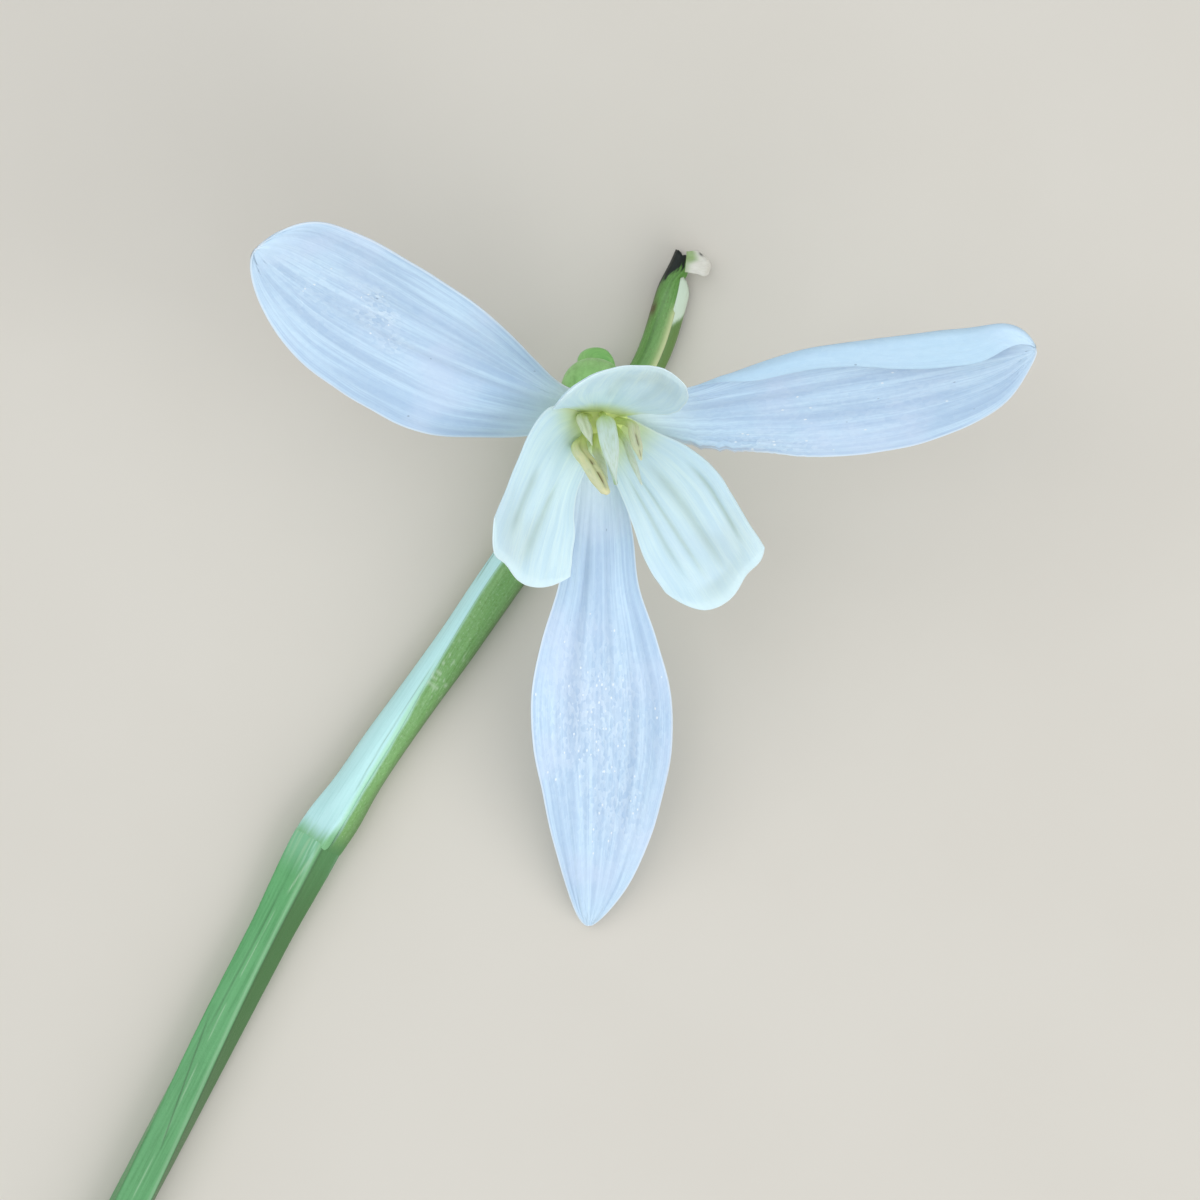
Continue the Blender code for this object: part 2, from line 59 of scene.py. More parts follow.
def linear_colour(code: str) -> tuple[float, float, float, float]:
    """Turns an sRGB colour code to linear light.

    Args:
        code: six hexadecimal digits, such as "C7E4F9".

    Returns:
        Linear red, green and blue, with full opacity.
    """
    values = [int(code[i : i + 2], 16) / 255 for i in (0, 2, 4)]
    red, green, blue = (v / 12.92 if v <= 0.04045 else ((v + 0.055) / 1.055) ** 2.4 for v in values)
    return red, green, blue, 1.0


def mixed(a: Amount, b: Amount, share: float) -> Amount:
    """Returns the number or vector that lies the share of the way from a to b."""
    return a + (b - a) * share


def smooth_step(value: float, low: float, high: float) -> float:
    """Returns 0 below low, 1 above high and a smooth rise between them."""
    t = min(max((value - low) / (high - low), 0.0), 1.0)
    return t * t * (3 - 2 * t)


def hump(value: float, centre: float, spread: float) -> float:
    """Returns a bell curve that is 1 at its centre."""
    return math.exp(-(((value - centre) / spread) ** 2))


def between(value: float, low: float, rise: float, fall: float, high: float) -> float:
    """Returns 1 from rise to fall, 0 below low and above high, and smooth slopes between them."""
    return smooth_step(value, low, rise) * (1 - smooth_step(value, fall, high))


def ripple(x: float, y: float, z: float) -> float:
    """Returns soft noise about 0 at a place."""
    return noise.noise(Vector((x, y, z)))


def round_point(angle: float, radius: float, height: float) -> Vector:
    """Returns the point at that angle, in radians, and radius round the upright axis, at that height."""
    return Vector((radius * math.cos(angle), radius * math.sin(angle), height))


def smooth_curve(values: tuple[Amount, ...], place: float) -> Amount:
    """Reads a smooth curve through evenly spaced numbers or vectors.

    Args:
        values: the numbers or vectors that the curve passes through.
        place: where it is read, from 0 at the first value to 1 at the last.

    Returns:
        The number or vector there.
    """
    last = len(values) - 1
    at = min(max(place, 0.0), 1.0) * last
    i = min(int(at), last - 1)
    t = at - i
    start, end = values[i], values[i + 1]
    before = values[i - 1] if i > 0 else start * 2 - end
    after = values[i + 2] if i + 2 <= last else end * 2 - start
    return 0.5 * (
        start * 2
        + (end - before) * t
        + (before * 2 - start * 5 + end * 4 - after) * t**2
        + (start * 3 - before - end * 3 + after) * t**3
    )


def flower_matrix() -> Matrix:
    """Sets up the flower's own frame, with X to the lower tepal and Z along the flower's axis.

    Returns:
        The turn and place of that frame.
    """
    down = Vector((0.0, -1.0, 0.0))
    lower = (down - FLOWER_AXIS * down.dot(FLOWER_AXIS)).normalized()
    turn = Matrix((lower, FLOWER_AXIS.cross(lower), FLOWER_AXIS)).transposed().to_4x4()
    return Matrix.Translation(FLOWER_CENTRE) @ turn


FLOWER = flower_matrix()


class Face(Enum):
    """The two skins of a thin blade, as the number that its "face" attribute holds."""

    INNER = 0.0
    OUTER = 1.0


class Slot(Enum):
    """The record's material slots."""

    OUTER_TEPALS = "outer_white"
    INNER_TEPALS = "inner_white"
    ANTHERS = "anther_yellow"
    STYLE = "style_white"
    OVARY = "ovary_green"
    SCAPE = "scape_green"
    MAIN_BRACT = "bract_green"
    SECOND_BRACT = "bract_olive"
    MEMBRANE = "membrane_mint"


BLEND = {"data_type": "RGBA", "out": 2}
SMOOTH = {"interpolation_type": "SMOOTHSTEP"}
TIMES = {"operation": "MULTIPLY"}
PLUS = {"operation": "ADD"}
OVER = {"operation": "GREATER_THAN"}
TONES = {"attribute_name": "tones", "out": "Vector"}
SPOTS = {"attribute_name": "spots", "out": "Vector"}
FLAT = {"attribute_name": "flat", "out": "Vector"}


class Recipe:
    """A material that is put together node by node."""

    def __init__(self, name: str) -> None:
        """Starts an empty material of that name."""
        self.material = bpy.data.materials.new(name)
        self.material.use_nodes = True
        self.tree = self.material.node_tree
        self.tree.nodes.clear()

    def add(
        self, kind: str, inputs: dict | None = None, out: int | str | tuple = 0, **settings: Any
    ) -> Any:
        """Adds one node with its settings and links.

        Args:
            kind: the node's type, without the words ShaderNode in front.
            inputs: for each input, by name or number, an output that feeds it, a colour code or a value.
            out: the output that is handed back, by name or number, or several of them.
            settings: the node's own settings.

        Returns:
            That output or those outputs, or None for a node that has no output.
        """
        node = self.tree.nodes.new("ShaderNode" + kind)
        for name, value in settings.items():
            setattr(node, name, value)
        for key, value in (inputs or {}).items():
            if isinstance(value, bpy.types.NodeSocket):
                self.tree.links.new(value, node.inputs[key])
            else:
                node.inputs[key].default_value = linear_colour(value) if isinstance(value, str) else value
        if isinstance(out, tuple):
            return tuple(node.outputs[one] for one in out)
        return node.outputs[out] if node.outputs else None


@dataclass(frozen=True)
class PetalSkin:
    """Living petal tissue.

    Fields:
        name: the material's name.
        light: the colour between the veins.
        dark: the colour along the veins.
        cloud: the colour of its broad, faint clouds.
        outer: the colour of the outer face.
        root: the colour at the claw.
        root_end: the share of the length where the claw's colour has gone.
        groove: the painted shade in the soft grooves.
        rim: the painted highlight along the margin.
        glitter: how strongly the skin's cells, their painted glints and their dark flecks show.
        through: the share of the light that passes through the blade.
    """

    name: str
    light: str
    dark: str
    cloud: str
    outer: str
    root: str
    root_end: float
    groove: str
    rim: str
    glitter: float
    through: float

    def dress(self) -> bpy.types.Material:
        """Builds the material.

        Returns:
            The material.
        """
        recipe = Recipe(self.name)
        add = recipe.add
        blade = add("UVMap", uv_map="UVMap")
        along = add("SeparateXYZ", {0: blade})
        flat = add("Attribute", **FLAT)
        face = add("Attribute", attribute_name="face", out="Fac")
        margin, shade, mark = add("SeparateXYZ", {0: add("Attribute", **TONES)}, out=(0, 1, 2))
        mottle_and_glint, stain = add("SeparateXYZ", {0: add("Attribute", **SPOTS)}, out=(0, 1))

        # Veins run from claw to tip and draw together there, which gives the blade its silky lengthwise
        # streaks. On a blade 7 mm wide the threads are about 0.1 mm apart and the bands between the veins
        # 0.4 mm.
        fine = add("Mapping", {0: blade, "Scale": (4.0, 72.0, 1.0)})
        threads = add("TexNoise", {"Vector": fine, "Scale": 1.0, "Detail": 4.0, "Roughness": 0.6})
        broad = add("Mapping", {0: blade, "Scale": (1.8, 17.0, 1.0)})
        bands = add("TexNoise", {"Vector": broad, "Scale": 1.0, "Detail": 3.0, "Roughness": 0.55})
        cloud = add("TexNoise", {"Vector": flat, "Scale": 0.22, "Detail": 3.0})
        layers = [
            (add("MapRange", {0: bands, 1: 0.34, 2: 0.66, 4: 0.85}, **SMOOTH), self.dark),
            (add("MapRange", {0: threads, 1: 0.45, 2: 0.7, 4: 0.65}, **SMOOTH), self.dark),
            (add("MapRange", {0: cloud, 1: 0.45, 2: 0.68, 4: 0.6}, **SMOOTH), self.cloud),
            (add("Math", {0: face, 1: 0.75}, **TIMES), self.outer),
            # Painted shade in the soft grooves.
            (add("MapRange", {0: shade, 1: 0.0, 2: 1.0, 4: 0.8}, **SMOOTH), self.groove),
            (add("MapRange", {0: along, 1: 0.0, 2: self.root_end, 3: 1.0, 4: 0.0}, **SMOOTH), self.root),
            (add("MapRange", {0: along, 1: 0.84, 2: 0.98, 3: 0.0, 4: 0.8}, **SMOOTH), self.light),
        ]

        # The skin's cells are about 0.05 mm across in life. Drawn 0.13 mm across and 0.3 mm long, they show
        # as the faint crystalline mottling that a fresh petal has, strongest where the piece says so.
        cell_place = add("Mapping", {0: flat, "Scale": (3.4, 7.6, 1.0)})
        depth, dye = add("TexVoronoi", {"Vector": cell_place, "Scale": 1.0}, out=("Distance", "Color"))
        cell_colour = add("Mix", {0: add("SeparateColor", {0: dye}), 6: "A9C2DC", 7: "F2FAFF"}, **BLEND)
        share = add("MapRange", {0: mottle_and_glint, 1: 0.0, 2: 1.0, 3: 0.06 * self.glitter, 4: 0.4 * self.glitter})
        layers.append((share, cell_colour))

        # Painted highlights: a few swollen cells are painted white as glints about 0.1 mm across, in loose
        # groups.
        dot_place = add("Mapping", {0: flat, "Scale": (4.5, 8.0, 1.0), "Location": (3.0, 1.0, 0.0)})
        away, luck = add("TexVoronoi", {"Vector": dot_place, "Scale": 1.0}, out=("Distance", "Color"))
        lucky, unlucky = add("SeparateColor", {0: luck}, out=(0, 1))
        small = add("MapRange", {0: away, 1: 0.2, 2: 0.42, 3: 1.0, 4: 0.0}, **SMOOTH)
        often = add("MapRange", {0: mottle_and_glint, 1: 0.1, 2: 1.0, 3: 0.0, 4: 0.12})
        level = add("Math", {0: add("Math", {0: lucky, 1: often}, **PLUS), 1: 1.0}, **OVER)
        painted_glint = add("Math", {0: add("Math", {0: small, 1: level}, **TIMES), 1: self.glitter}, **TIMES)
        rare = add("Math", {0: unlucky, 1: 0.998}, **OVER)
        fleck = add("Math", {0: add("Math", {0: small, 1: rare}, **TIMES), 1: 0.55 * self.glitter}, **TIMES)

        # Over all of it lie the painted white glints, a few dark flecks, the green mark of the outer face,
        # the painted highlight along the margin and the bruised stretch of the margin.
        torn = add("MapRange", {0: threads, 1: 0.35, 2: 0.6}, **SMOOTH)
        layers += [
            (painted_glint, "F8FDFF"),
            (fleck, "7F93A8"),
            (add("Math", {0: face, 1: mark}, **TIMES), "5E9440"),
            # Painted highlight along the margin, gone 0.11 mm in from it.
            (add("MapRange", {0: margin, 1: 0.02, 2: 0.11, 3: 0.55, 4: 0.0}, **SMOOTH), self.rim),
            (add("Math", {0: stain, 1: torn}, **TIMES), "A98C76"),
        ]
        colour = self.light
        for share, top in layers:
            colour = add("Mix", {0: share, 6: colour, 7: top}, **BLEND)

        # Cells and threads stand up by a few hundredths of a millimetre, and the painted glints are smoother
        # than the rest.
        cells = add("MapRange", {0: depth, 1: 0.0, 2: 0.7, 3: 1.0, 4: 0.0}, **SMOOTH)
        swollen = add("MapRange", {0: mottle_and_glint, 1: 0.0, 2: 1.0, 3: 0.25, 4: 1.8})
        height = add("Math", {0: threads, 1: add("Math", {0: cells, 1: swollen}, **TIMES)}, **PLUS)
        bump = add("Bump", {"Strength": 0.45, "Distance": 0.03 * MM, "Height": height})
        rough = add("MapRange", {0: painted_glint, 1: 0.0, 2: 1.0, 3: 0.48, 4: 0.2})
        skin = add("BsdfPrincipled", {"Base Color": colour, "Roughness": rough, "Normal": bump, "IOR": 1.4})
        back = add("BsdfTranslucent", {"Color": colour, "Normal": bump})
        add("OutputMaterial", {"Surface": add("MixShader", {0: self.through, 1: skin, 2: back})})
        return recipe.material


@dataclass(frozen=True)
class PlantSkin:
    """Smooth green skin of a stalk or bract.

    Fields:
        name: the material's name.
        light: the green between the fibres.
        dark: the green along them.
        tip: the colour where the piece's first tone is 1.
        stain: the colour where its second tone is 1.
        pale: the colour where its third tone is 1.
        joint: the colour where its first spot value is 1.
        fibres: how many fibres there are round the piece.
        roughness: the skin's roughness.
    """

    name: str
    light: str
    dark: str
    tip: str
    stain: str
    pale: str
    joint: str
    fibres: float
    roughness: float

    def dress(self) -> bpy.types.Material:
        """Builds the material.

        Returns:
            The material.
        """
        recipe = Recipe(self.name)
        add = recipe.add
        skin_map = add("UVMap", uv_map="UVMap")
        flat = add("Attribute", **FLAT)
        tip, stain, pale = add("SeparateXYZ", {0: add("Attribute", **TONES)}, out=(0, 1, 2))
        joint, speckle, painted_shade = add("SeparateXYZ", {0: add("Attribute", **SPOTS)}, out=(0, 1, 2))

        # Long fibres 0.1 to 0.4 mm apart under a waxy skin: a satin green with fine lengthwise streaks and
        # faint clouds about 2 mm long.
        fine = add("Mapping", {0: skin_map, "Scale": (9.0, self.fibres, 1.0)})
        fibre = add("TexNoise", {"Vector": fine, "Scale": 1.0, "Detail": 4.0, "Roughness": 0.62})
        cloud = add("TexNoise", {"Vector": flat, "Scale": 0.5, "Detail": 3.0})

        # Groups of cells 0.1 to 0.2 mm across are paler or darker, which gives the bracts their fine speckle.
        fleck_place = add("Mapping", {0: flat, "Scale": (6.0, 9.0, 1.0)})
        fleck = add("TexNoise", {"Vector": fleck_place, "Scale": 1.0, "Detail": 3.0, "Roughness": 0.7})
        paler = add("MapRange", {0: fleck, 1: 0.54, 2: 0.7, 4: 0.5}, **SMOOTH)
        darker = add("MapRange", {0: fleck, 1: 0.46, 2: 0.34}, **SMOOTH)

        colour = self.light
        for share, top in (
            (add("MapRange", {0: fibre, 1: 0.35, 2: 0.68}, **SMOOTH), self.dark),
            (add("MapRange", {0: cloud, 1: 0.4, 2: 0.7, 4: 0.45}, **SMOOTH), self.light),
            (add("Math", {0: paler, 1: speckle}, **TIMES), self.pale),
            (add("Math", {0: darker, 1: speckle}, **TIMES), self.stain),
            (joint, self.joint),
            (pale, self.pale),
            # Second tone: painted shade on the stalk's right side, and the bracts' own olive and bruised
            # colour.
            (stain, self.stain),
            # Painted shade, where a piece's third spot value asks for it.
            (painted_shade, "35502F"),
            (tip, self.tip),
        ):
            colour = add("Mix", {0: share, 6: colour, 7: top}, **BLEND)
        grain = add("TexNoise", {"Vector": flat, "Scale": 9.0, "Detail": 2.0})
        height = add("Math", {0: fibre, 1: add("Math", {0: grain, 1: 0.5}, **TIMES)}, **PLUS)
        bump = add("Bump", {"Strength": 0.5, "Distance": 0.04 * MM, "Height": height})
        low, high = self.roughness - 0.06, self.roughness + 0.06
        rough = add("MapRange", {0: grain, 1: 0.3, 2: 0.7, 3: low, 4: high})
        skin = add("BsdfPrincipled", {"Base Color": colour, "Roughness": rough, "Normal": bump, "IOR": 1.45})
        add("OutputMaterial", {"Surface": skin})
        return recipe.material


@dataclass(frozen=True)
class PaperSkin:
    """Thin papery skin that lets a little light through.

    Fields:
        name: the material's name.
        light: its main colour.
        dark: the colour of its faint fibres.
        green: the colour where its first tone is 1.
        stain: the colour where its second tone is 1.
        fold: the colour where its third tone is 1.
    """

    name: str
    light: str
    dark: str
    green: str
    stain: str
    fold: str

    def dress(self) -> bpy.types.Material:
        """Builds the material.

        Returns:
            The material.
        """
        recipe = Recipe(self.name)
        add = recipe.add
        skin_map = add("UVMap", uv_map="UVMap")
        flat = add("Attribute", **FLAT)
        green, stain, fold = add("SeparateXYZ", {0: add("Attribute", **TONES)}, out=(0, 1, 2))

        # Dried skin: fibres about 0.1 mm apart or finer run along it and it crinkles over half a millimetre,
        # so it looks like soft tissue paper.
        fine = add("Mapping", {0: skin_map, "Scale": (5.0, 26.0, 1.0)})
        fibre = add("TexNoise", {"Vector": fine, "Scale": 1.0, "Detail": 4.0, "Roughness": 0.6})
        crinkle = add("TexNoise", {"Vector": flat, "Scale": 1.6, "Detail": 3.0})
        streaks = add("MapRange", {0: fibre, 1: 0.42, 2: 0.72, 4: 0.6}, **SMOOTH)
        colour = self.light
        for share, top in ((streaks, self.dark), (fold, self.fold), (green, self.green), (stain, self.stain)):
            colour = add("Mix", {0: share, 6: colour, 7: top}, **BLEND)
        height = add("Math", {0: fibre, 1: crinkle}, **PLUS)
        bump = add("Bump", {"Strength": 0.4, "Distance": 0.04 * MM, "Height": height})
        skin = add("BsdfPrincipled", {"Base Color": colour, "Roughness": 0.4, "Normal": bump, "IOR": 1.45})
        back = add("BsdfTranslucent", {"Color": colour, "Normal": bump})
        add("OutputMaterial", {"Surface": add("MixShader", {0: 0.15, 1: skin, 2: back})})
        return recipe.material


@dataclass(frozen=True)
class AntherSkin:
    """Soft tissue of the anthers, their stalks and the style.

    Fields:
        name: the material's name.
        ripe: the colour where the first tone is 1.
        unripe: the colour where the first tone is 0.
        fibre: the colour of the faint fibres along it.
        slit: the colour where the second tone is 1.
        stalk: the colour where the third tone is 1.
    """

    name: str
    ripe: str
    unripe: str
    fibre: str
    slit: str
    stalk: str

    def dress(self) -> bpy.types.Material:
        """Builds the material.

        Returns:
            The material.
        """
        recipe = Recipe(self.name)
        add = recipe.add
        flat = add("Attribute", **FLAT)
        ripe, slit, stalk = add("SeparateXYZ", {0: add("Attribute", **TONES)}, out=(0, 1, 2))

        # Fibres 0.1 mm apart and a grain of 0.07 mm, like pollen on the skin, make it matt and a little
        # streaky.
        stretched = add("Mapping", {0: flat, "Scale": (1.5, 9.0, 1.0)})
        fibre = add("TexNoise", {"Vector": stretched, "Scale": 1.0, "Detail": 4.0})
        grain = add("TexNoise", {"Vector": flat, "Scale": 14.0, "Detail": 2.0})
        streaks = add("MapRange", {0: fibre, 1: 0.42, 2: 0.72, 4: 0.45}, **SMOOTH)
        colour = self.unripe
        for share, top in ((ripe, self.ripe), (streaks, self.fibre), (stalk, self.stalk), (slit, self.slit)):
            colour = add("Mix", {0: share, 6: colour, 7: top}, **BLEND)
        height = add("Math", {0: fibre, 1: grain}, **PLUS)
        bump = add("Bump", {"Strength": 0.5, "Distance": 0.03 * MM, "Height": height})
        skin = add("BsdfPrincipled", {"Base Color": colour, "Roughness": 0.5, "Normal": bump, "IOR": 1.42})
        back = add("BsdfTranslucent", {"Color": colour})
        add("OutputMaterial", {"Surface": add("MixShader", {0: 0.15, 1: skin, 2: back})})
        return recipe.material


Place = Callable[[float, float], Vector]
Values = Callable[[float, float], tuple[float, ...]]

MARGIN_SHARE = 0.3  # of a blade's thickness, left at its very margin
SEAM_GAP = 0.0001  # millimetres within which a tube's two edges are one


def grid_piece(
    name: str, along: int, across: int, place: Place, tones: Values, flat: Values
) -> bpy.types.Object:
    """Adds a grid and moves each of its points into place.

    Args:
        name: the piece's name.
        along: faces from the piece's root to its tip.
        across: faces from one edge to the other, or round the piece.
        place: gives a point in millimetres from its place along, 0 to 1, and across, -1 to 1.
        tones: gives the six values that its material reads, three as "tones" and three as "spots".
        flat: gives a point's flat measure in millimetres.

    Returns:
        The piece, a single layer of faces with its values as attributes.
    """
    bpy.ops.object.select_all(action="DESELECT")
    bpy.ops.mesh.primitive_grid_add(x_subdivisions=along, y_subdivisions=across, size=2.0, calc_uvs=True)
    piece = bpy.context.object
    piece.name = name
    mesh = piece.data
    mesh.name = name
    spots = [((vertex.co.x + 1) / 2, vertex.co.y) for vertex in mesh.vertices]
    points, shades, marks, measures = [], [], [], []
    for s, v in spots:
        points.extend(place(s, v) * MM)
        values = tones(s, v)
        shades.extend(values[:3])
        marks.extend(values[3:])
        measures.extend(flat(s, v))
    mesh.vertices.foreach_set("co", points)
    for label, data in (("tones", shades), ("spots", marks), ("flat", measures)):
        mesh.attributes.new(label, "FLOAT_VECTOR", "POINT").data.foreach_set("vector", data)
    mesh.update()
    return piece


def thicken(piece: bpy.types.Object, thickness: float, offset: float, thin: float = 0.0) -> None:
    """Gives a single layer its thickness and notes on each point which face it belongs to.

    Args:
        piece: the single layer, whose faces point to its inner side.
        thickness: in millimetres.
        offset: 0 for half to each side, or -1 for all of it behind the faces.
        thin: width of the margin over which the blade thins out, by its first tone, or 0 for none.
    """
    bpy.context.view_layer.objects.active = piece
    single = len(piece.data.vertices)
    solid = piece.modifiers.new("Thickness", "SOLIDIFY")
    solid.thickness = thickness * MM
    solid.offset = offset
    solid.use_even_offset = False
    if thin:
        margin = piece.vertex_groups.new(name="thickness")
        for i, tone in enumerate(piece.data.attributes["tones"].data):
            margin.add([i], smooth_step(tone.vector.x, 0.0, thin), "REPLACE")
        solid.vertex_group = margin.name
        solid.thickness_vertex_group = MARGIN_SHARE
    bpy.ops.object.modifier_apply(modifier=solid.name)
    faces = [Face.INNER.value if i < single else Face.OUTER.value for i in range(len(piece.data.vertices))]
    piece.data.attributes.new("face", "FLOAT", "POINT").data.foreach_set("value", faces)


def tube_piece(
    name: str, along: int, across: int, place: Place, tones: Values, flat: Values
) -> bpy.types.Object:
    """Wraps a grid into a tube, joins its two edges and closes its ends.

    Args:
        name: the piece's name.
        along: faces along the tube.
        across: faces round it.
        place: gives a point, as in grid_piece.
        tones: gives a point's six values, as in grid_piece.
        flat: gives a point's flat measure, as in grid_piece.

    Returns:
        The piece, a closed skin.
    """
    piece = grid_piece(name, along, across, place, tones, flat)
    bpy.context.view_layer.objects.active = piece
    bpy.ops.object.mode_set(mode="EDIT")
    bpy.ops.mesh.select_all(action="SELECT")
    bpy.ops.mesh.remove_doubles(threshold=SEAM_GAP * MM)
    bpy.ops.mesh.fill_holes(sides=0)
    bpy.ops.mesh.select_all(action="SELECT")
    bpy.ops.mesh.normals_make_consistent(inside=False)
    bpy.ops.object.mode_set(mode="OBJECT")
    return piece


def hand_over(
    piece: bpy.types.Object, material: bpy.types.Material, slot: Slot, nodes: tuple[str, ...]
) -> None:
    """Dresses a finished piece and lets it stand for its solids.

    Args:
        piece: the finished piece.
        material: its material.
        slot: the record's slot; it is not used.
        nodes: the solids that it replaces.
    """
    piece.data.materials.clear()
    piece.data.materials.append(material)
    piece.data.shade_smooth()
    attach(piece, "root")
    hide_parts(*nodes)
    LOG.info("%s: %d faces, for %s", piece.name, len(piece.data.polygons), ", ".join(nodes))


@dataclass(frozen=True)
class Roll:
    """A margin that is rolled over towards the blade's inner face.

    Fields:
        radius: radius of the fold.
        turn: how far it is turned over, in degrees.
        rise: the places along the blade where the turn begins and is full.
        strip: width of the strip past the fold, at even steps from root to tip.
    """

    radius: float
    turn: float
    rise: tuple[float, float]
    strip: tuple[float, ...]


@dataclass(frozen=True)
class Groove:
    """A soft lengthwise groove of a blade.

    Fields:
        root: its place across the blade at its lower end, -1 to 1.
        tip: its place across the blade at its upper end.
        begin: where it begins along the blade.
        end: where it ends.
        spread: its half-width as a share of the blade's.
        depth: in millimetres, less than 0 for a ridge.
        shade: how strongly its painted shade shows.
    """

    root: float
    tip: float
    begin: float
    end: float
    spread: float
    depth: float
    shade: float

    def strength(self, s: float, v: float) -> float:
        """Tells how much a point lies in the groove.

        Args:
            s: place along the blade.
            v: place across it.

        Returns:
            A number from 0 to 1.
        """
        t = (s - self.begin) / (self.end - self.begin)
        if not 0.0 < t < 1.0:
            return 0.0
        return hump(v, mixed(self.root, self.tip, t), self.spread) * between(t, 0.0, 0.3, 0.65, 1.0)


@dataclass(frozen=True)
class Patch:
    """A soft-edged patch of a blade where its cells are mottled and show painted glints.

    Fields:
        s: its place along the blade.
        v: its place across it.
        length: its half-length, as a share of the blade's length.
        width: its half-width, as a share of the blade's half-width.
        strength: how strongly it shows.
    """

    s: float
    v: float
    length: float
    width: float
    strength: float

    def strength_at(self, s: float, v: float) -> float:
        """Returns how strongly it shows at a place along and across the blade."""
        return self.strength * hump(s, self.s, self.length) * hump(v, self.v, self.width)


@dataclass(frozen=True)
class Tepal:
    """One segment of the flower, as a thin blade along a bent midrib. Angles are in degrees.

    Fields:
        name: the solid that it stands for.
        azimuth: direction round the flower's axis.
        lean: the midrib's lean from the axis at its root.
        bend: how much more it leans at its tip.
        length: length of the midrib.
        left: half-width on the side of smaller azimuth, at even steps from root to tip.
        right: half-width on the other side.
        seed: start of its noise.
        sway: how far the midrib turns sideways by its tip.
        twist: turn of the blade about its midrib.
        cup: how much the blade turns in for each millimetre across.
        root_radius: distance of its root from the axis.
        root_height: height of its root above the flower's centre.
        tip_power: how blunt its round tip is, or 0 for an end as wide as the last half-widths.
        notch: depth of the notch in its end, as a share of its length, less than 0 for a lobe.
        notch_place: the notch's place across the blade.
        notch_spread: the notch's half-width.
        corner: how much shorter its left and right corners are, as a share of its length.
        mark: how strong the green mark on its outer face is.
        patches: where its cells are mottled and show painted glints.
        stain: where the bruised stretch of its left margin begins and ends.
        wave: how much its margins wave up and down.
        relief: height of its fine relief.
        ragged: where the uneven stretch of its left margin begins and ends, and how uneven it is.
        roll: its rolled margin, if it has one.
        grooves: its lengthwise grooves.
        thickness: of the blade.
        along: faces along it.
        across: faces across it.
    """

    name: str
    azimuth: float
    lean: float
    bend: float
    length: float
    left: tuple[float, ...]
    right: tuple[float, ...]
    seed: float
    sway: float = 0.0
    twist: float = 0.0
    cup: float = 3.0
    root_radius: float = 0.5
    root_height: float = -0.2
    tip_power: float = 0.0
    notch: float = 0.0
    notch_place: float = 0.0
    notch_spread: float = 0.33
    corner: tuple[float, float] = (0.0, 0.0)
    mark: float = 0.0
    patches: tuple[Patch, ...] = ()
    stain: tuple[float, float] = (0.0, 0.0)
    wave: float = 0.0
    relief: float = 0.05
    ragged: tuple[float, float, float] = (0.0, 0.0, 0.0)
    roll: Roll | None = None
    grooves: tuple[Groove, ...] = ()
    thickness: float = 0.2
    along: int = 150
    across: int = 76

    def closure(self, s: float) -> float:
        """Returns the share of the width that a round tip leaves."""
        return math.sqrt(1 - (0.9997 * s) ** self.tip_power) if self.tip_power else 1.0

    @lru_cache(maxsize=None)
    def half_width(self, s: float, right_side: bool) -> float:
        """Measures the flattened blade, with its slightly uneven margin.

        Args:
            s: place along the blade.
            right_side: True for the side of growing azimuth.

        Returns:
            The half-width there.
        """
        width = smooth_curve(self.right if right_side else self.left, s) * self.closure(s)
        side = 4.0 if right_side else 9.0
        width *= 1 + 0.014 * ripple(s * 9.0, side, self.seed)
        begin, end, unevenness = self.ragged
        if unevenness and not right_side:
            unevenness *= between(s, begin, begin + 0.06, begin, end)
            width += unevenness * ripple(s * 70.0, side, self.seed)
        return width

    def turned(self, s: float) -> float:
        """Returns how far the margin is rolled over there, in radians."""
        return math.radians(self.roll.turn) * smooth_step(s, *self.roll.rise) if self.roll else 0.0

    @lru_cache(maxsize=None)
    def arc_width(self, s: float, right_side: bool) -> float:
        """Measures the half-width along the blade, with what the rolled margin takes up.

        Args:
            s: place along the blade.
            right_side: True for the side of growing azimuth.

        Returns:
            The length of the blade's section from the midrib to the margin.
        """
        width = self.half_width(s, right_side)
        if self.roll and right_side:
            radius = self.roll.radius * self.closure(s)
            width += radius * (self.turned(s) - math.sin(min(self.turned(s), math.pi / 2)))
            width += smooth_curve(self.roll.strip, s) * self.closure(s)
        return width

    @lru_cache(maxsize=None)
    def section(self, s: float, right_side: bool) -> tuple[tuple[float, float, float], ...]:
        """Sums the blade's section outwards from the midrib.

        Args:
            s: place along the blade.
            right_side: True for the side of growing azimuth.

        Returns:
            Distance across, rise and turn at each of many even steps of the arc.
        """
        steps = 120 if self.roll and right_side else 30
        sign = 1.0 if right_side else -1.0
        step = self.arc_width(s, right_side) / steps
        radius = self.roll.radius * self.closure(s) if self.roll and right_side else 0.0
        begin = self.half_width(s, right_side) - radius * math.sin(min(self.turned(s), math.pi / 2))
        fold = max(self.turned(s) * radius, 0.05)
        across, rise, spots = 0.0, 0.0, [(0.0, 0.0, 0.0)]
        for k in range(steps):
            arc = (k + 0.5) * step
            turn = math.radians(self.cup) * arc
            if radius:
                turn += self.turned(s) * min(max((arc - begin) / fold, 0.0), 1.0)
            across += math.cos(turn) * step * sign
            rise += math.sin(turn) * step
            spots.append((across, rise, turn * sign))
        return tuple(spots)

    @lru_cache(maxsize=None)
    def rib(self, s: float) -> tuple[Vector, Vector, Vector]:
        """Follows the midrib.

        Args:
            s: place along the blade.

        Returns:
            The midrib's point, the direction across the blade and that out of its inner face.
        """
        point = Vector((self.root_radius, 0.0, self.root_height))
        steps = 60
        for k in range(steps):
            point += self.directions(s * (k + 0.5) / steps)[0] * (s * self.length / steps)
        _, across, inner = self.directions(s)
        twist = math.radians(self.twist)
        return (
            point,
            across * math.cos(twist) + inner * math.sin(twist),
            inner * math.cos(twist) - across * math.sin(twist),
        )

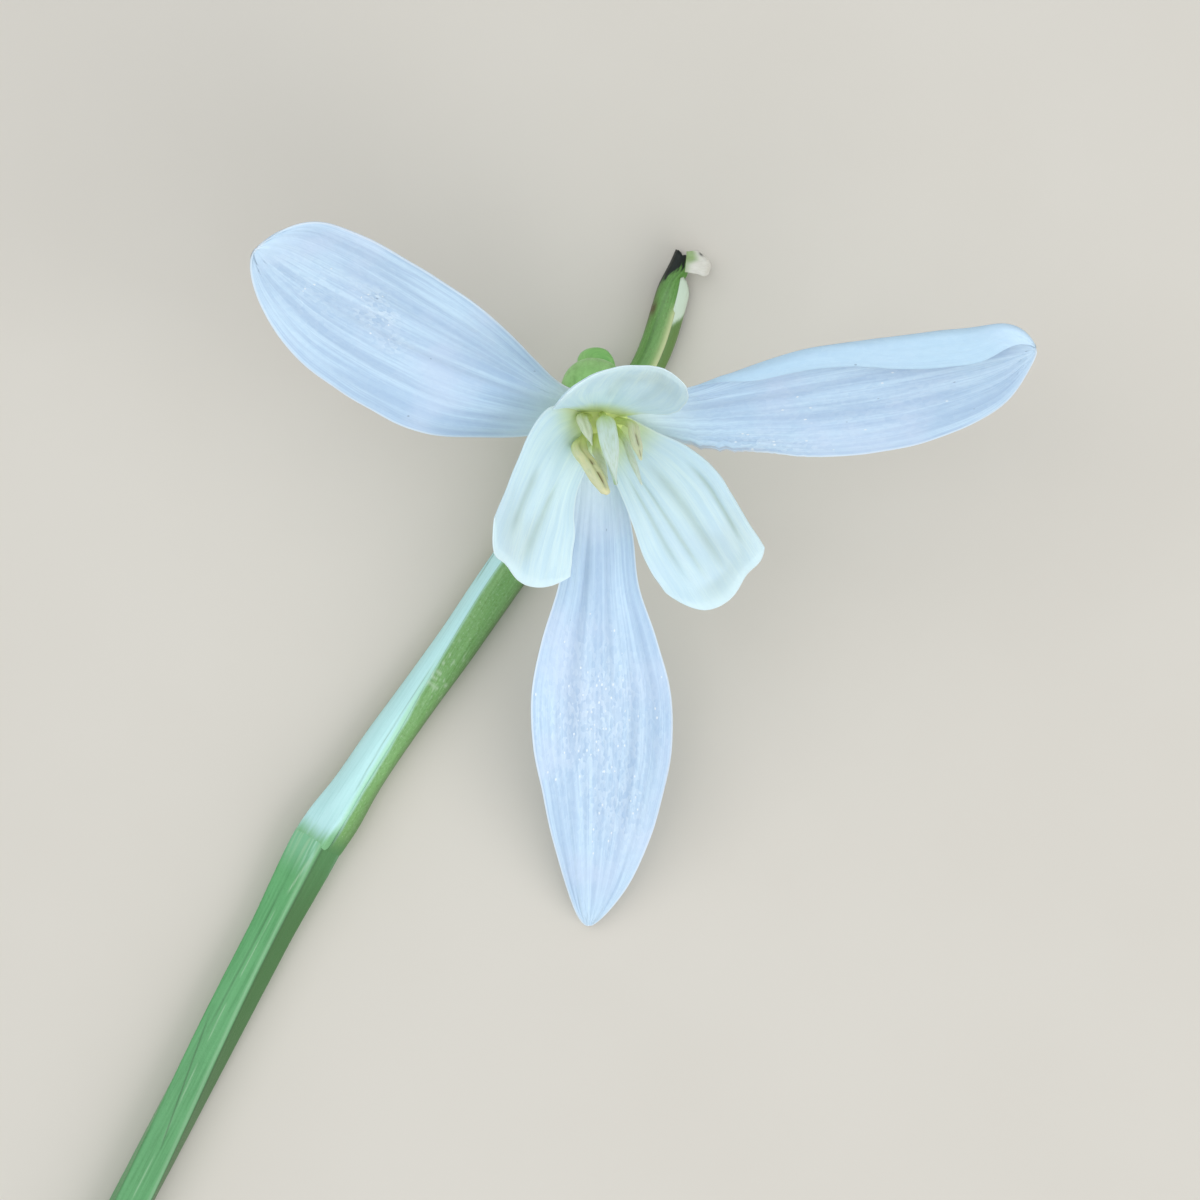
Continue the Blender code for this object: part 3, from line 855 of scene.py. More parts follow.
    def directions(self, s: float) -> tuple[Vector, Vector, Vector]:
        """Gives the blade's own directions, before its twist.

        Args:
            s: place along the blade.

        Returns:
            The directions along the midrib, across the blade and out of its inner face.
        """
        lean = math.radians(self.lean + self.bend * s)
        sway = math.radians(self.sway * s)
        outward = Vector((math.sin(lean), 0.0, math.cos(lean)))
        side = Vector((0.0, 1.0, 0.0))
        inner = Vector((-math.cos(lean), 0.0, math.sin(lean)))
        return (
            outward * math.cos(sway) + side * math.sin(sway),
            side * math.cos(sway) - outward * math.sin(sway),
            inner,
        )

    def crowded(self, s: float, v: float) -> tuple[float, float]:
        """Returns a grid place moved so that rows and columns lie closer at the tip and the margins."""
        return 1 - (1 - s) ** 1.3, v * (1.35 - 0.35 * v * v)

    def height(self, s: float, v: float) -> float:
        """Gives the fine relief of the blade's middle surface.

        Args:
            s: place along the blade.
            v: place across it.

        Returns:
            How far the surface stands out on its inner side.
        """
        calm = smooth_step(s, 0.02, 0.2) * (1 - 0.7 * smooth_step(abs(v), 0.8, 1.0))
        rise = self.relief * calm * ripple(s * 2.6, v * 5.5, self.seed)
        rise += 0.4 * self.relief * calm * ripple(s * 5.0, v * 17.0, self.seed + 5.0)
        rise += self.wave * math.sin(9.0 * s + self.azimuth) * v * v * s * (1 - s)
        return rise - sum(groove.depth * groove.strength(s, v) for groove in self.grooves)

    def place(self, grid_s: float, grid_v: float) -> Vector:
        """Finds a point of the blade's middle surface.

        Args:
            grid_s: place along the blade's grid.
            grid_v: place across it.

        Returns:
            The point.
        """
        s, v = self.crowded(grid_s, grid_v)
        spots = self.section(s, v > 0)
        at = abs(v) * (len(spots) - 1)
        i = min(int(at), len(spots) - 2)
        across, rise, turn = (mixed(a, b, at - i) for a, b in zip(spots[i], spots[i + 1]))
        notch = self.notch * hump(v, self.notch_place, self.notch_spread)
        point, side, inner = self.rib(s * (1 - (notch + self.corner[v > 0] * abs(v) ** 3) * s**3))
        lift = self.height(s, v)
        spot = point + side * (across - math.sin(turn) * lift) + inner * (rise + math.cos(turn) * lift)
        return FLOWER @ (Matrix.Rotation(math.radians(self.azimuth), 4, "Z") @ spot)

    def tones(self, grid_s: float, grid_v: float) -> tuple[float, ...]:
        """Reads what the petal's material needs to know of a point.

        Args:
            grid_s: place along the blade's grid.
            grid_v: place across it.

        Returns:
            The distance from the margin in millimetres, the painted shade of the groove, the strength of the
            green mark, how strongly the cells are mottled and show painted glints, how brown the bruised
            margin is, and a spare value.
        """
        s, v = self.crowded(grid_s, grid_v)
        edge = min((1 - abs(v)) * self.arc_width(s, v > 0), (1 - s) * self.length)
        shade = max((groove.shade * groove.strength(s, v) for groove in self.grooves), default=0.0)
        arm = s + 0.22 * abs(v - self.notch_place)
        mark = self.mark * between(arm, 0.7, 0.78, 0.93, 0.99)
        mottle_and_glint = sum(patch.strength_at(s, v) for patch in self.patches)
        begin, end = self.stain
        stain = 0.0
        if end and v < 0:
            stain = hump(s, (begin + end) / 2, (end - begin) / 2) * (1 - smooth_step(edge, 0.02, 0.3))
        # The painted highlight of the margin is kept off the free edge of a rolled margin.
        if self.roll and v > 0:
            edge += 0.3 * smooth_step(s, *self.roll.rise)
        return edge, shade, mark * hump(v, self.notch_place, 0.42), min(mottle_and_glint, 1.0), stain, 0.0

    def flat(self, grid_s: float, grid_v: float) -> tuple[float, float, float]:
        """Returns the point's measure along and across the flattened blade, in millimetres."""
        s, v = self.crowded(grid_s, grid_v)
        return s * self.length + self.seed, v * self.arc_width(s, v > 0), 0.0

    def build(self, material: bpy.types.Material, slot: Slot) -> None:
        """Makes the tepal, thickens it and hands it over for its solid.

        Args:
            material: its material.
            slot: the record's slot, which is handed on.
        """
        piece = grid_piece(self.name + "_petal", self.along, self.across, self.place, self.tones, self.flat)
        thicken(piece, self.thickness, 0.0, 0.5)
        hand_over(piece, material, slot, (self.name,))


# What the inner tepals have in common.
INNER_TEPAL = {"root_height": 0.3, "mark": 1.0, "along": 96, "bend": -6.0}


@dataclass(frozen=True)
class Perianth:
    """The six white segments: three long outer ones and three short notched inner ones.

    Fields:
        outer: the outer segments.
        inner: the inner segments.
    """

    outer: tuple[Tepal, ...] = (
        Tepal(
            name="outer_tepal_lower", azimuth=2.5, lean=60.0, bend=28.3, sway=-1.8, length=25.65, seed=3.1,
            left=(0.9, 1.12, 1.5, 2.03, 2.9, 3.42, 3.3, 2.7, 2.08, 1.32, 0.5),
            right=(0.9, 1.08, 1.5, 1.78, 2.64, 3.4, 3.5, 3.2, 2.68, 1.85, 0.5),
            cup=4.0, tip_power=60.0, wave=1.2, relief=0.08,
            patches=(Patch(0.56, -0.05, 0.17, 0.75, 1.0), Patch(0.75, 0.4, 0.08, 0.4, 0.6)),
            grooves=(
                Groove(-0.45, -0.32, 0.1, 0.75, 0.13, 0.08, 0.6),
                Groove(0.12, 0.1, 0.12, 0.62, 0.13, 0.07, 0.5),
                Groove(0.6, 0.45, 0.2, 0.9, 0.2, 0.06, 0.25),
                Groove(-0.12, -0.1, 0.15, 0.6, 0.16, -0.07, 0.0),
            ),
        ),
        Tepal(
            name="outer_tepal_right", azimuth=110.0, lean=74.0, bend=-14.0, sway=10.5, length=21.0, seed=17.4,
            left=(0.9, 1.7, 2.75, 3.16, 3.7, 3.97, 4.0, 3.75, 3.3, 2.5, 1.0),
            right=(0.9, 0.5, 0.8, 1.25, 1.7, 2.0, 2.02, 1.94, 1.86, 1.9, 2.6),
            cup=3.0, tip_power=16.0, relief=0.06, ragged=(0.12, 0.5, 0.16), across=132, stain=(0.12, 0.3),
            roll=Roll(0.28, 166.0, (0.12, 0.4), (0.0, 0.0, 0.02, 0.12, 0.34, 0.5, 0.68, 1.1, 1.3, 1.28, 0.9)),
            patches=(Patch(0.3, -0.85, 0.12, 0.16, 0.8), Patch(0.55, -0.3, 0.3, 0.5, 0.25)),
            grooves=(
                Groove(-0.25, 0.05, 0.05, 0.75, 0.09, 0.07, 0.4),
                Groove(-0.5, -0.35, 0.3, 0.95, 0.16, 0.05, 0.2),
            ),
        ),
        Tepal(
            name="outer_tepal_left", azimuth=-118.0, lean=76.0, bend=-14.0, sway=-18.0, length=22.1,
            left=(0.9, 0.85, 1.5, 2.2, 2.75, 3.13, 3.42, 3.55, 3.52, 3.42, 3.7),
            right=(0.9, 2.15, 3.0, 3.74, 3.92, 3.8, 3.62, 3.3, 2.78, 2.05, 1.25),
            seed=29.8, cup=5.0, tip_power=14.0, wave=0.8, relief=0.07,
            patches=(
                Patch(0.66, -0.3, 0.03, 0.14, 1.0), Patch(0.6, -0.12, 0.035, 0.12, 1.0),
                Patch(0.64, -0.02, 0.04, 0.16, 0.9), Patch(0.54, 0.16, 0.04, 0.14, 0.8),
                Patch(0.8, 0.1, 0.12, 0.5, 0.35),
            ),
            grooves=(
                Groove(0.1, 0.15, 0.06, 0.84, 0.07, 0.08, 0.5),
                Groove(-0.25, -0.3, 0.1, 0.8, 0.09, 0.06, 0.3),
                Groove(0.5, 0.55, 0.15, 0.82, 0.1, 0.06, 0.3),
                Groove(-0.62, -0.5, 0.2, 0.82, 0.1, 0.04, 0.2),
            ),
        ),
    )
    inner: tuple[Tepal, ...] = (
        Tepal(
            name="inner_tepal_left", azimuth=-66.0, lean=42.0, sway=36.0, twist=6.5, length=8.85, seed=41.2,
            left=(0.95, 1.9, 2.9, 3.3, 3.38, 3.3, 3.27, 3.3, 3.42, 3.62, 3.8),
            right=(0.95, 1.1, 1.25, 1.38, 1.58, 1.9, 2.28, 2.47, 2.58, 2.68, 2.75),
            notch=0.05, notch_place=-0.36, notch_spread=0.27, corner=(0.2, 0.14), cup=8.0, relief=0.04,
            grooves=(
                Groove(-0.38, -0.45, 0.35, 0.9, 0.12, 0.1, 0.6),
                Groove(0.2, -0.02, 0.3, 1.0, 0.14, 0.12, 0.6),
                Groove(-0.1, -0.22, 0.2, 1.0, 0.14, -0.1, 0.0),
            ),
            **INNER_TEPAL,
        ),
        Tepal(
            name="inner_tepal_right", azimuth=48.5, lean=52.0, sway=-6.0, twist=-13.5, length=10.0, seed=53.9,
            left=(0.95, 1.05, 1.22, 1.45, 1.68, 1.93, 2.17, 2.3, 2.33, 2.28, 2.2),
            right=(0.95, 1.4, 1.9, 2.42, 2.78, 2.95, 2.93, 2.88, 2.85, 2.86, 2.87),
            notch=0.045, notch_place=0.5, notch_spread=0.3, corner=(0.17, 0.11), cup=8.0, relief=0.04,
            grooves=(
                Groove(-0.55, -0.45, 0.12, 0.9, 0.09, 0.08, 0.6),
                Groove(-0.2, -0.12, 0.12, 0.95, 0.08, 0.09, 0.65),
                Groove(0.2, 0.24, 0.15, 1.0, 0.11, 0.08, 0.6),
                Groove(0.74, 0.72, 0.3, 0.92, 0.06, 0.09, 0.8),
                # Painted shade where the lower lobe curls down.
                Groove(0.0, 0.0, 0.84, 1.06, 0.5, 0.01, 0.45),
            ),
            **INNER_TEPAL | {"bend": -8.0},
        ),
        Tepal(
            name="inner_tepal_upper", azimuth=176.5, lean=46.4, twist=-3.0, length=9.35, seed=67.5,
            left=(0.95, 1.35, 1.75, 2.2, 2.55, 2.72, 2.82, 2.8, 2.74, 2.58, 2.25),
            right=(0.95, 1.5, 2.05, 2.6, 3.1, 3.42, 3.67, 3.84, 3.9, 3.83, 3.55),
            notch=-0.07, notch_place=-0.38, notch_spread=0.5, corner=(0.05, 0.09), cup=14.0, relief=0.02,
            grooves=(
                Groove(0.1, 0.1, 0.2, 0.9, 0.12, 0.04, 0.35),
                Groove(-0.45, -0.5, 0.2, 0.9, 0.12, 0.03, 0.3),
            ),
            **INNER_TEPAL,
        ),
    )

    def build(self) -> None:
        """Makes the six tepals."""
        long_white = PetalSkin(
            "Outer tepal tissue, fresh", light="D9F0FF", dark="B8D0E8", cloud="D9E6F8", outer="D2F0FF",
            root="ECFCFA", root_end=0.2, groove="B0C4DA", rim="FBFEFF", glitter=1.0, through=0.14,
        ).dress()
        short_white = PetalSkin(
            "Inner tepal tissue, fresh", light="EEFFFF", dark="DCF2FA", cloud="E4F6FF", outer="E6FAFF",
            root="EAF4AE", root_end=0.2, groove="BED0C4", rim="F4FFFF", glitter=0.15, through=0.22,
        ).dress()
        for tepal in self.outer:
            tepal.build(long_white, Slot.OUTER_TEPALS)
        for tepal in self.inner:
            tepal.build(short_white, Slot.INNER_TEPALS)


FILAMENT_RADIUS = 0.17
FILAMENT_RING = 0.5  # distance of the filaments' feet from the flower's axis
FILAMENT_FOOT = 0.39  # their height above the flower's centre


@dataclass(frozen=True)
class Stamen:
    """A stamen on its short filament.

    Fields:
        azimuth: direction from the flower's axis, in degrees.
        middle: distance from the axis at the foot of the anther.
        tip: distance from the axis at the tip.
        height: height of the tip above the flower's centre.
        facing: azimuth that the slit's side faces.
        width: of the anther.
        ripeness: 0 for greenish white, 1 for yellow.
        slit: how dark its slit is.
        blunt: the share of its width that is left at the tip.
        taper: where it begins to narrow, from 0 at the foot to 1 at the tip.
    """

    azimuth: float
    middle: float
    tip: float
    height: float
    facing: float
    width: float
    ripeness: float
    slit: float
    blunt: float
    taper: float

    def centre(self, s: float) -> Vector:
        """Gives a point of the stamen's middle line, which runs straight from the anther's foot to its tip.

        Args:
            s: place along the stamen.

        Returns:
            The point in the flower's frame.
        """
        anther = tuple(mixed(self.middle, self.tip, share) for share in (0.0, 0.33, 0.67, 1.0))
        radius = smooth_curve((FILAMENT_RING, *anther), s)
        return round_point(math.radians(self.azimuth), radius, mixed(FILAMENT_FOOT, self.height, s))

    def place(self, s: float, v: float) -> Vector:
        """Finds a point of the stamen's skin: two lobes with a furrow between them.

        Args:
            s: place along the stamen.
            v: place round it.

        Returns:
            The point.
        """
        normal = round_point(math.radians(self.facing), 1.0, 0.0)
        ahead = (self.centre(min(s + 0.01, 1.0)) - self.centre(max(s - 0.01, 0.0))).normalized()
        normal = (normal - ahead * normal.dot(ahead)).normalized()
        side = ahead.cross(normal)
        anther = smooth_step(s, 0.12, 0.26)
        narrow = mixed(1.0, self.blunt, smooth_step(s, self.taper, 1.0) ** 1.3)
        narrow *= 1 - 0.75 * smooth_step(s, 0.97, 1.0)
        half_width = mixed(FILAMENT_RADIUS, self.width / 2 * narrow, anther)
        half_depth = mixed(FILAMENT_RADIUS, self.width * 0.36 * narrow, anther)
        angle = math.pi * v
        furrow = anther * narrow * (0.45 * hump(angle, 0.0, 0.34) + 0.3 * hump(abs(angle), math.pi, 0.4))
        depth = half_depth * math.cos(angle) * (1 - furrow)
        return FLOWER @ (self.centre(s) + side * (half_width * math.sin(angle)) + normal * depth)

    def tones(self, s: float, v: float) -> tuple[float, ...]:
        """Reads what the anther's material needs to know of a point.

        Args:
            s: place along the stamen.
            v: place round it.

        Returns:
            Its ripeness, the slit's shade, the filament's shade and three spare values.
        """
        angle = math.pi * v
        ripe = self.ripeness * (0.85 + 0.2 * ripple(s * 5, math.cos(angle), self.azimuth))
        broken = smooth_step(ripple(s * 7.0, self.azimuth, 1.0), -0.3, 0.05)
        slit = self.slit * hump(v, 0.0, 0.05) * between(s, 0.45, 0.55, 0.92, 0.97) * broken
        return ripe, slit, 1 - smooth_step(s, 0.1, 0.42), 0.0, 0.0, 0.0

    def flat(self, s: float, v: float) -> tuple[float, ...]:
        """Returns the point's measure along and round the stamen, in millimetres."""
        return s * self.height + self.azimuth, v * self.width * 1.4, 0.0


@dataclass(frozen=True)
class Stamens:
    """Six stamens in a ring on the disc at the middle of the flower.

    Fields:
        ring: the stamens.
        disc_radius: radius of the disc.
        disc_heights: height of its foot and of its middle.
    """

    ring: tuple[Stamen, ...] = (
        Stamen(-66.0, 1.24, 0.5, 6.25, 160.0, 0.84, 1.0, 1.0, 0.6, 0.7),
        Stamen(-18.0, 0.9, 0.5, 4.8, -20.0, 0.45, 0.3, 0.0, 0.1, 0.5),
        Stamen(80.0, 0.98, 1.3, 5.5, 130.0, 0.44, 0.15, 0.0, 0.3, 0.6),
        Stamen(113.0, 1.36, 1.4, 4.6, 165.0, 0.56, 0.8, 0.8, 0.3, 0.6),
        Stamen(-178.0, 0.85, 0.25, 6.35, 180.0, 0.92, 0.06, 0.0, 0.05, 0.38),
        Stamen(-123.0, 1.2, 0.95, 3.3, 170.0, 0.6, 0.55, 0.0, 0.12, 0.45),
    )
    disc_radius: float = 1.25
    disc_heights: tuple[float, float] = (0.1, 0.66)

    def disc_place(self, s: float, v: float) -> Vector:
        """Finds a point of the low, round-edged disc that the filaments grow from.

        Args:
            s: place from the middle of its underside over its rim to the middle of its top.
            v: place round it.

        Returns:
            The point.
        """
        radius = self.disc_radius * math.sin(math.pi * mixed(0.06, 0.94, s)) ** 0.45
        angle = math.pi * v
        height = mixed(*self.disc_heights, s) + 0.05 * s * math.cos(6 * angle)
        return FLOWER @ round_point(angle, radius, height)

    def build(self) -> None:
        """Makes the disc and the stamens, joins them and hands them over."""
        disc = tube_piece(
            "stamens_ring", along=14, across=48, place=self.disc_place,
            tones=lambda s, v: (0.4, 0.0, 1.0, 0.0, 0.0, 0.0), flat=lambda s, v: (s, v * 2.2, 0.0),
        )
        for i, stamen in enumerate(self.ring):
            single = tube_piece(f"stamen_{i}", 60, 40, stamen.place, stamen.tones, stamen.flat)
            bpy.ops.object.select_all(action="DESELECT")
            single.select_set(True)
            disc.select_set(True)
            bpy.context.view_layer.objects.active = disc
            bpy.ops.object.join()
        skin = AntherSkin(
            "Anther tissue, dry and soft", ripe="F4E8AC", unripe="EFF8EC", fibre="CFD8A8", slit="86693A",
            stalk="E2EE96",
        ).dress()
        hand_over(disc, skin, Slot.ANTHERS, ("stamens",))


@dataclass(frozen=True)
class Pistil:
    """The style in the middle of the stamens and the ovary behind the tepals.

    Fields:
        style_ends: height of the style's foot and of its tip.
        style_radii: radius at its foot and at its tip.
        ovary_depths: how far the ovary's rings lie behind the flower's centre.
        ovary_radii: their radii.
    """

    style_ends: tuple[float, float] = (0.6, 6.0)
    style_radii: tuple[float, float] = (0.22, 0.085)
    ovary_depths: tuple[float, ...] = (-0.25, 0.05, 0.6, 0.98, 1.5, 2.3, 3.1, 3.8, 4.2)
    ovary_radii: tuple[float, ...] = (0.55, 0.7, 0.86, 1.22, 1.48, 1.58, 1.42, 1.0, 0.5)

    def style_place(self, s: float, v: float) -> Vector:
        """Finds a point of the style, which narrows evenly to a small blunt tip.

        Args:
            s: place along it.
            v: place round it.

        Returns:
            The point.
        """
        radius = mixed(*self.style_radii, s**1.6) * (1 - smooth_step(s, 0.985, 1.0) * 0.7)
        lean = Vector((0.12 * s * s, 0.0, 0.0))
        return FLOWER @ (round_point(math.pi * v, radius, mixed(*self.style_ends, s)) - lean)

    def ovary_place(self, s: float, v: float) -> Vector:
        """Finds a point of the ovary: three soft lobes that swell behind a narrow neck.

        Args:
            s: place from its front to its back.
            v: place round it.

        Returns:
            The point.
        """
        angle = math.pi * v
        radius = smooth_curve(self.ovary_radii, s) * (1 + 0.025 * math.cos(3 * angle) * math.sin(math.pi * s))
        return FLOWER @ round_point(angle, radius, -smooth_curve(self.ovary_depths, s))

    def build(self) -> None:
        """Makes the style and the ovary."""
        style = tube_piece(
            "style_column", along=50, across=20, place=self.style_place,
            tones=lambda s, v: (0.1, 0.0, smooth_step(s, 0.9, 1.0) * 0.6, 0.0, 0.0, 0.0),
            flat=lambda s, v: (s * 6, v, 0.0),
        )
        style_skin = AntherSkin(
            "Style tissue, moist", ripe="D8E8C0", unripe="DCEBD8", fibre="C2D6AE", slit="8FA870",
            stalk="A9CB86",
        )
        hand_over(style, style_skin.dress(), Slot.STYLE, ("style",))
        ovary = tube_piece(
            "ovary_swelling", along=44, across=56, place=self.ovary_place,
            tones=lambda s, v: (0.0, 0.0, 0.5 * smooth_step(s, 0.8, 1.0), 0.0, 0.15, 0.0),
            flat=lambda s, v: (s * 4.4, v * 4.4, 0.0),
        )
        ovary_skin = PlantSkin(
            "Ovary skin, fresh and smooth", light="9CD27E", dark="88BE6A", tip="6E9A55", stain="5E8A48",
            pale="9CC47E", joint="9CC47E", fibres=22.0, roughness=0.36,
        )
        hand_over(ovary, ovary_skin.dress(), Slot.OVARY, ("ovary",))


@dataclass(frozen=True)
class StalkSection:
    """The stalk's rounded many-sided section, which turns slowly along the stalk.

    Fields:
        facets: angle and distance of each flat side, for a radius of 1. The sharp ridge stands between the
            first two.
        sharpness: how sharp the edges between the sides are.
        turns: how far the section is turned, in degrees, at even steps from the joint to the cut.
        ridge: angle of the sharp ridge, before that turn.
    """

    facets: tuple[tuple[float, float], ...] = (
        (103.0, 0.93), (22.0, 0.95), (182.0, 0.97), (322.0, 1.0), (230.0, 1.0), (270.0, 1.0),
    )
    sharpness: float = 18.0
    turns: tuple[float, ...] = (16.0, 16.0, 8.0, -7.0, -20.0, -26.0, -28.0, -30.0, -31.0, -32.0, -33.0)
    ridge: float = 62.0

    def turn(self, s: float) -> float:
        """Returns how far the section is turned at a place along the stalk, in degrees."""
        return smooth_curve(self.turns, s)

    def reach(self, angle: float) -> float:
        """Measures the section.

        Args:
            angle: in degrees, from the section's own right side.

        Returns:
            How far it reaches at that angle, for a radius of 1.
        """
        power = self.sharpness
        total = 0.0
        for at, far in self.facets:
            total += max(math.cos(math.radians(angle - at)), 0.0) ** power / far**power
        return total ** (-1 / power)


STALK_SECTION = StalkSection()


@dataclass(frozen=True)
class SpatheTube:
    """The tube that the bracts and skins of the spathe lie on.

    Fields:
        route: its middle line seen from above, at even steps from root to tip.
        radii: its outer radius at even steps.
        swelling: place, half-length and height of the slight swelling above its root.
        drawn_in: where its tip begins to draw in, and by what share.
        flat_depth: how deep its underside is flattened.
        stalk_fade: the places between which the stalk's many-sided section turns round.
        tucked: where its root dips into the stalk, where it is clear of it, and how deep it dips.
    """

    route: tuple[tuple[float, float], ...] = (
        (-13.66, -20.2), (-10.5, -15.45), (-7.16, -10.85), (-3.95, -6.17), (-0.69, -1.49), (2.49, 3.24),
        (4.08, 8.6),
    )
    radii: tuple[float, ...] = (1.13, 1.03, 1.02, 1.07, 1.0, 0.73, 0.8)
    swelling: tuple[float, float, float] = (0.045, 0.035, 0.06)
    drawn_in: tuple[float, float] = (0.93, 0.4)
    flat_depth: float = 0.15
    stalk_fade: tuple[float, float] = (0.0, 0.12)
    tucked: tuple[float, float, float] = (-0.024, 0.004, 0.1)

    def radius(self, t: float) -> float:
        """Returns the outer radius at t from 0 at the root to 1 at the tip."""
        full = smooth_curve(self.radii, t) + self.swelling[2] * hump(t, *self.swelling[:2])
        return full * (1 - self.drawn_in[1] * smooth_step(t, self.drawn_in[0], 1.0))

    def centre(self, t: float) -> Vector:
        """Gives a point of the middle line, which runs on straight past both ends.

        Args:
            t: place along it.

        Returns:
            The point.
        """
        route = tuple(Vector(point) for point in self.route)
        flat = smooth_curve(route, t)
        if t < 0:
            flat = mixed(route[0], route[1], t * 6)
        if t > 1:
            flat = mixed(route[-1], route[-2], (1 - t) * 6)
        return Vector((flat.x, flat.y, self.radius(t) - self.flat_depth))

    def skin(self, t: float, angle: float, lift: float) -> Vector:
        """Finds a point on the spathe.

        Args:
            t: place along it.
            angle: degrees round it, 0 at its right and 90 on top.
            lift: how far the point stands out from the tube.

        Returns:
            The point, never lower than the surface that the spathe lies on.
        """
        ahead = self.centre(t + 0.01) - self.centre(t - 0.01)
        level = ahead.cross(Vector((0.0, 0.0, 1.0))).normalized()
        turn = math.radians(angle)
        stalk = STALK_SECTION.reach(angle - STALK_SECTION.turn(0.0))
        radius = self.radius(t) * mixed(stalk, 1.0, smooth_step(t, *self.stalk_fade)) + lift
        radius -= self.tucked[2] * (1 - smooth_step(t, *self.tucked[:2]))
        rise = Vector((0.0, 0.0, radius * math.sin(turn)))
        point = self.centre(t) + level * (radius * math.cos(turn)) + rise
        point.z = max(point.z, 0.0)
        return point


SPATHE_TUBE = SpatheTube()
SPATHE_LENGTH = 34.0


@dataclass(frozen=True)
class Pedicel:
    """The flower's own slender stalk, which runs up inside the spathe and hooks over to the ovary.

    Fields:
        inside_height: its height above the surface inside the spathe.
        inside: where along the spathe it begins and leaves it.
        inside_points: points of its route inside the spathe.
        free_route: points of its route from there to the ovary.
        back_depth: how far behind the flower's centre it ends.
        radii: its radius inside the spathe and outside.
        rings: faces along it.
    """

    inside_height: float = 1.1
    inside: tuple[float, float] = (0.014, 0.54)
    inside_points: int = 8
    free_route: tuple[tuple[float, float, float], ...] = (
        (-2.2, -2.6, 1.75), (-1.6, -1.2, 2.6), (-0.75, 0.2, 3.0), (0.05, 1.5, 3.1), (0.38, 2.6, 3.35),
        (0.12, 3.18, 3.85), (-0.42, 3.22, 4.35), (-0.7, 2.9, 4.8),
    )
    back_depth: float = 4.1
    radii: tuple[float, float] = (0.33, 0.38)
    rings: int = 240

    @lru_cache(maxsize=None)
    def points(self) -> tuple[Vector, ...]:
        """Follows the middle line inside the spathe and on from there to the ovary.

        Returns:
            Its points.
        """
        route = []
        for i in range(self.inside_points):
            spot = SPATHE_TUBE.centre(mixed(*self.inside, i / (self.inside_points - 1)))
            route.append(Vector((spot.x, spot.y, self.inside_height)))
        route += [Vector(point) for point in self.free_route]
        route.append(FLOWER_CENTRE - FLOWER_AXIS * self.back_depth)
        return tuple(smooth_curve(tuple(route), i / self.rings) for i in range(self.rings + 1))

    @lru_cache(maxsize=None)
    def frames(self) -> tuple[tuple[Vector, Vector], ...]:
        """Carries two directions across the stalk along its middle line.

        Returns:
            The two directions at each of its points.
        """
        points = self.points()
        side, frames = None, []
        for i in range(self.rings + 1):
            ahead = (points[min(i + 1, self.rings)] - points[max(i - 1, 0)]).normalized()
            side = ahead.orthogonal() if side is None else side - ahead * side.dot(ahead)
            side = side.normalized()
            frames.append((side, ahead.cross(side)))
        return tuple(frames)

    def place(self, s: float, v: float) -> Vector:
        """Finds a point of the stalk's skin.

        Args:
            s: place along it.
            v: place round it.

        Returns:
            The point.
        """
        i = min(round(s * self.rings), self.rings)
        side, up = self.frames()[i]
        angle = math.pi * v
        radius = mixed(*self.radii, smooth_step(s, 0.55, 0.9)) + 0.1 * smooth_step(s, 0.965, 1.0)
        radius *= 1 + 0.03 * math.cos(5 * angle)
        return self.points()[i] + side * (radius * math.cos(angle)) + up * (radius * math.sin(angle))

    def build(self) -> None:
        """Makes the stalk."""
        stalk = tube_piece(
            "pedicel_stalk", along=self.rings, across=24, place=self.place,
            tones=lambda s, v: (0.0, 0.0, 0.35 * smooth_step(s, 0.8, 0.95), 0.0, 0.0, 0.0),
            flat=lambda s, v: (s * 30, v * 1.1, 0.0),
        )
        skin = PlantSkin(
            "Pedicel skin, fresh and smooth", light="90CE72", dark="7CBC62", tip="6E9A55", stain="5E8A48",
            pale="98CC78", joint="92BE78", fibres=14.0, roughness=0.34,
        )
        hand_over(stalk, skin.dress(), Slot.OVARY, ("pedicel",))


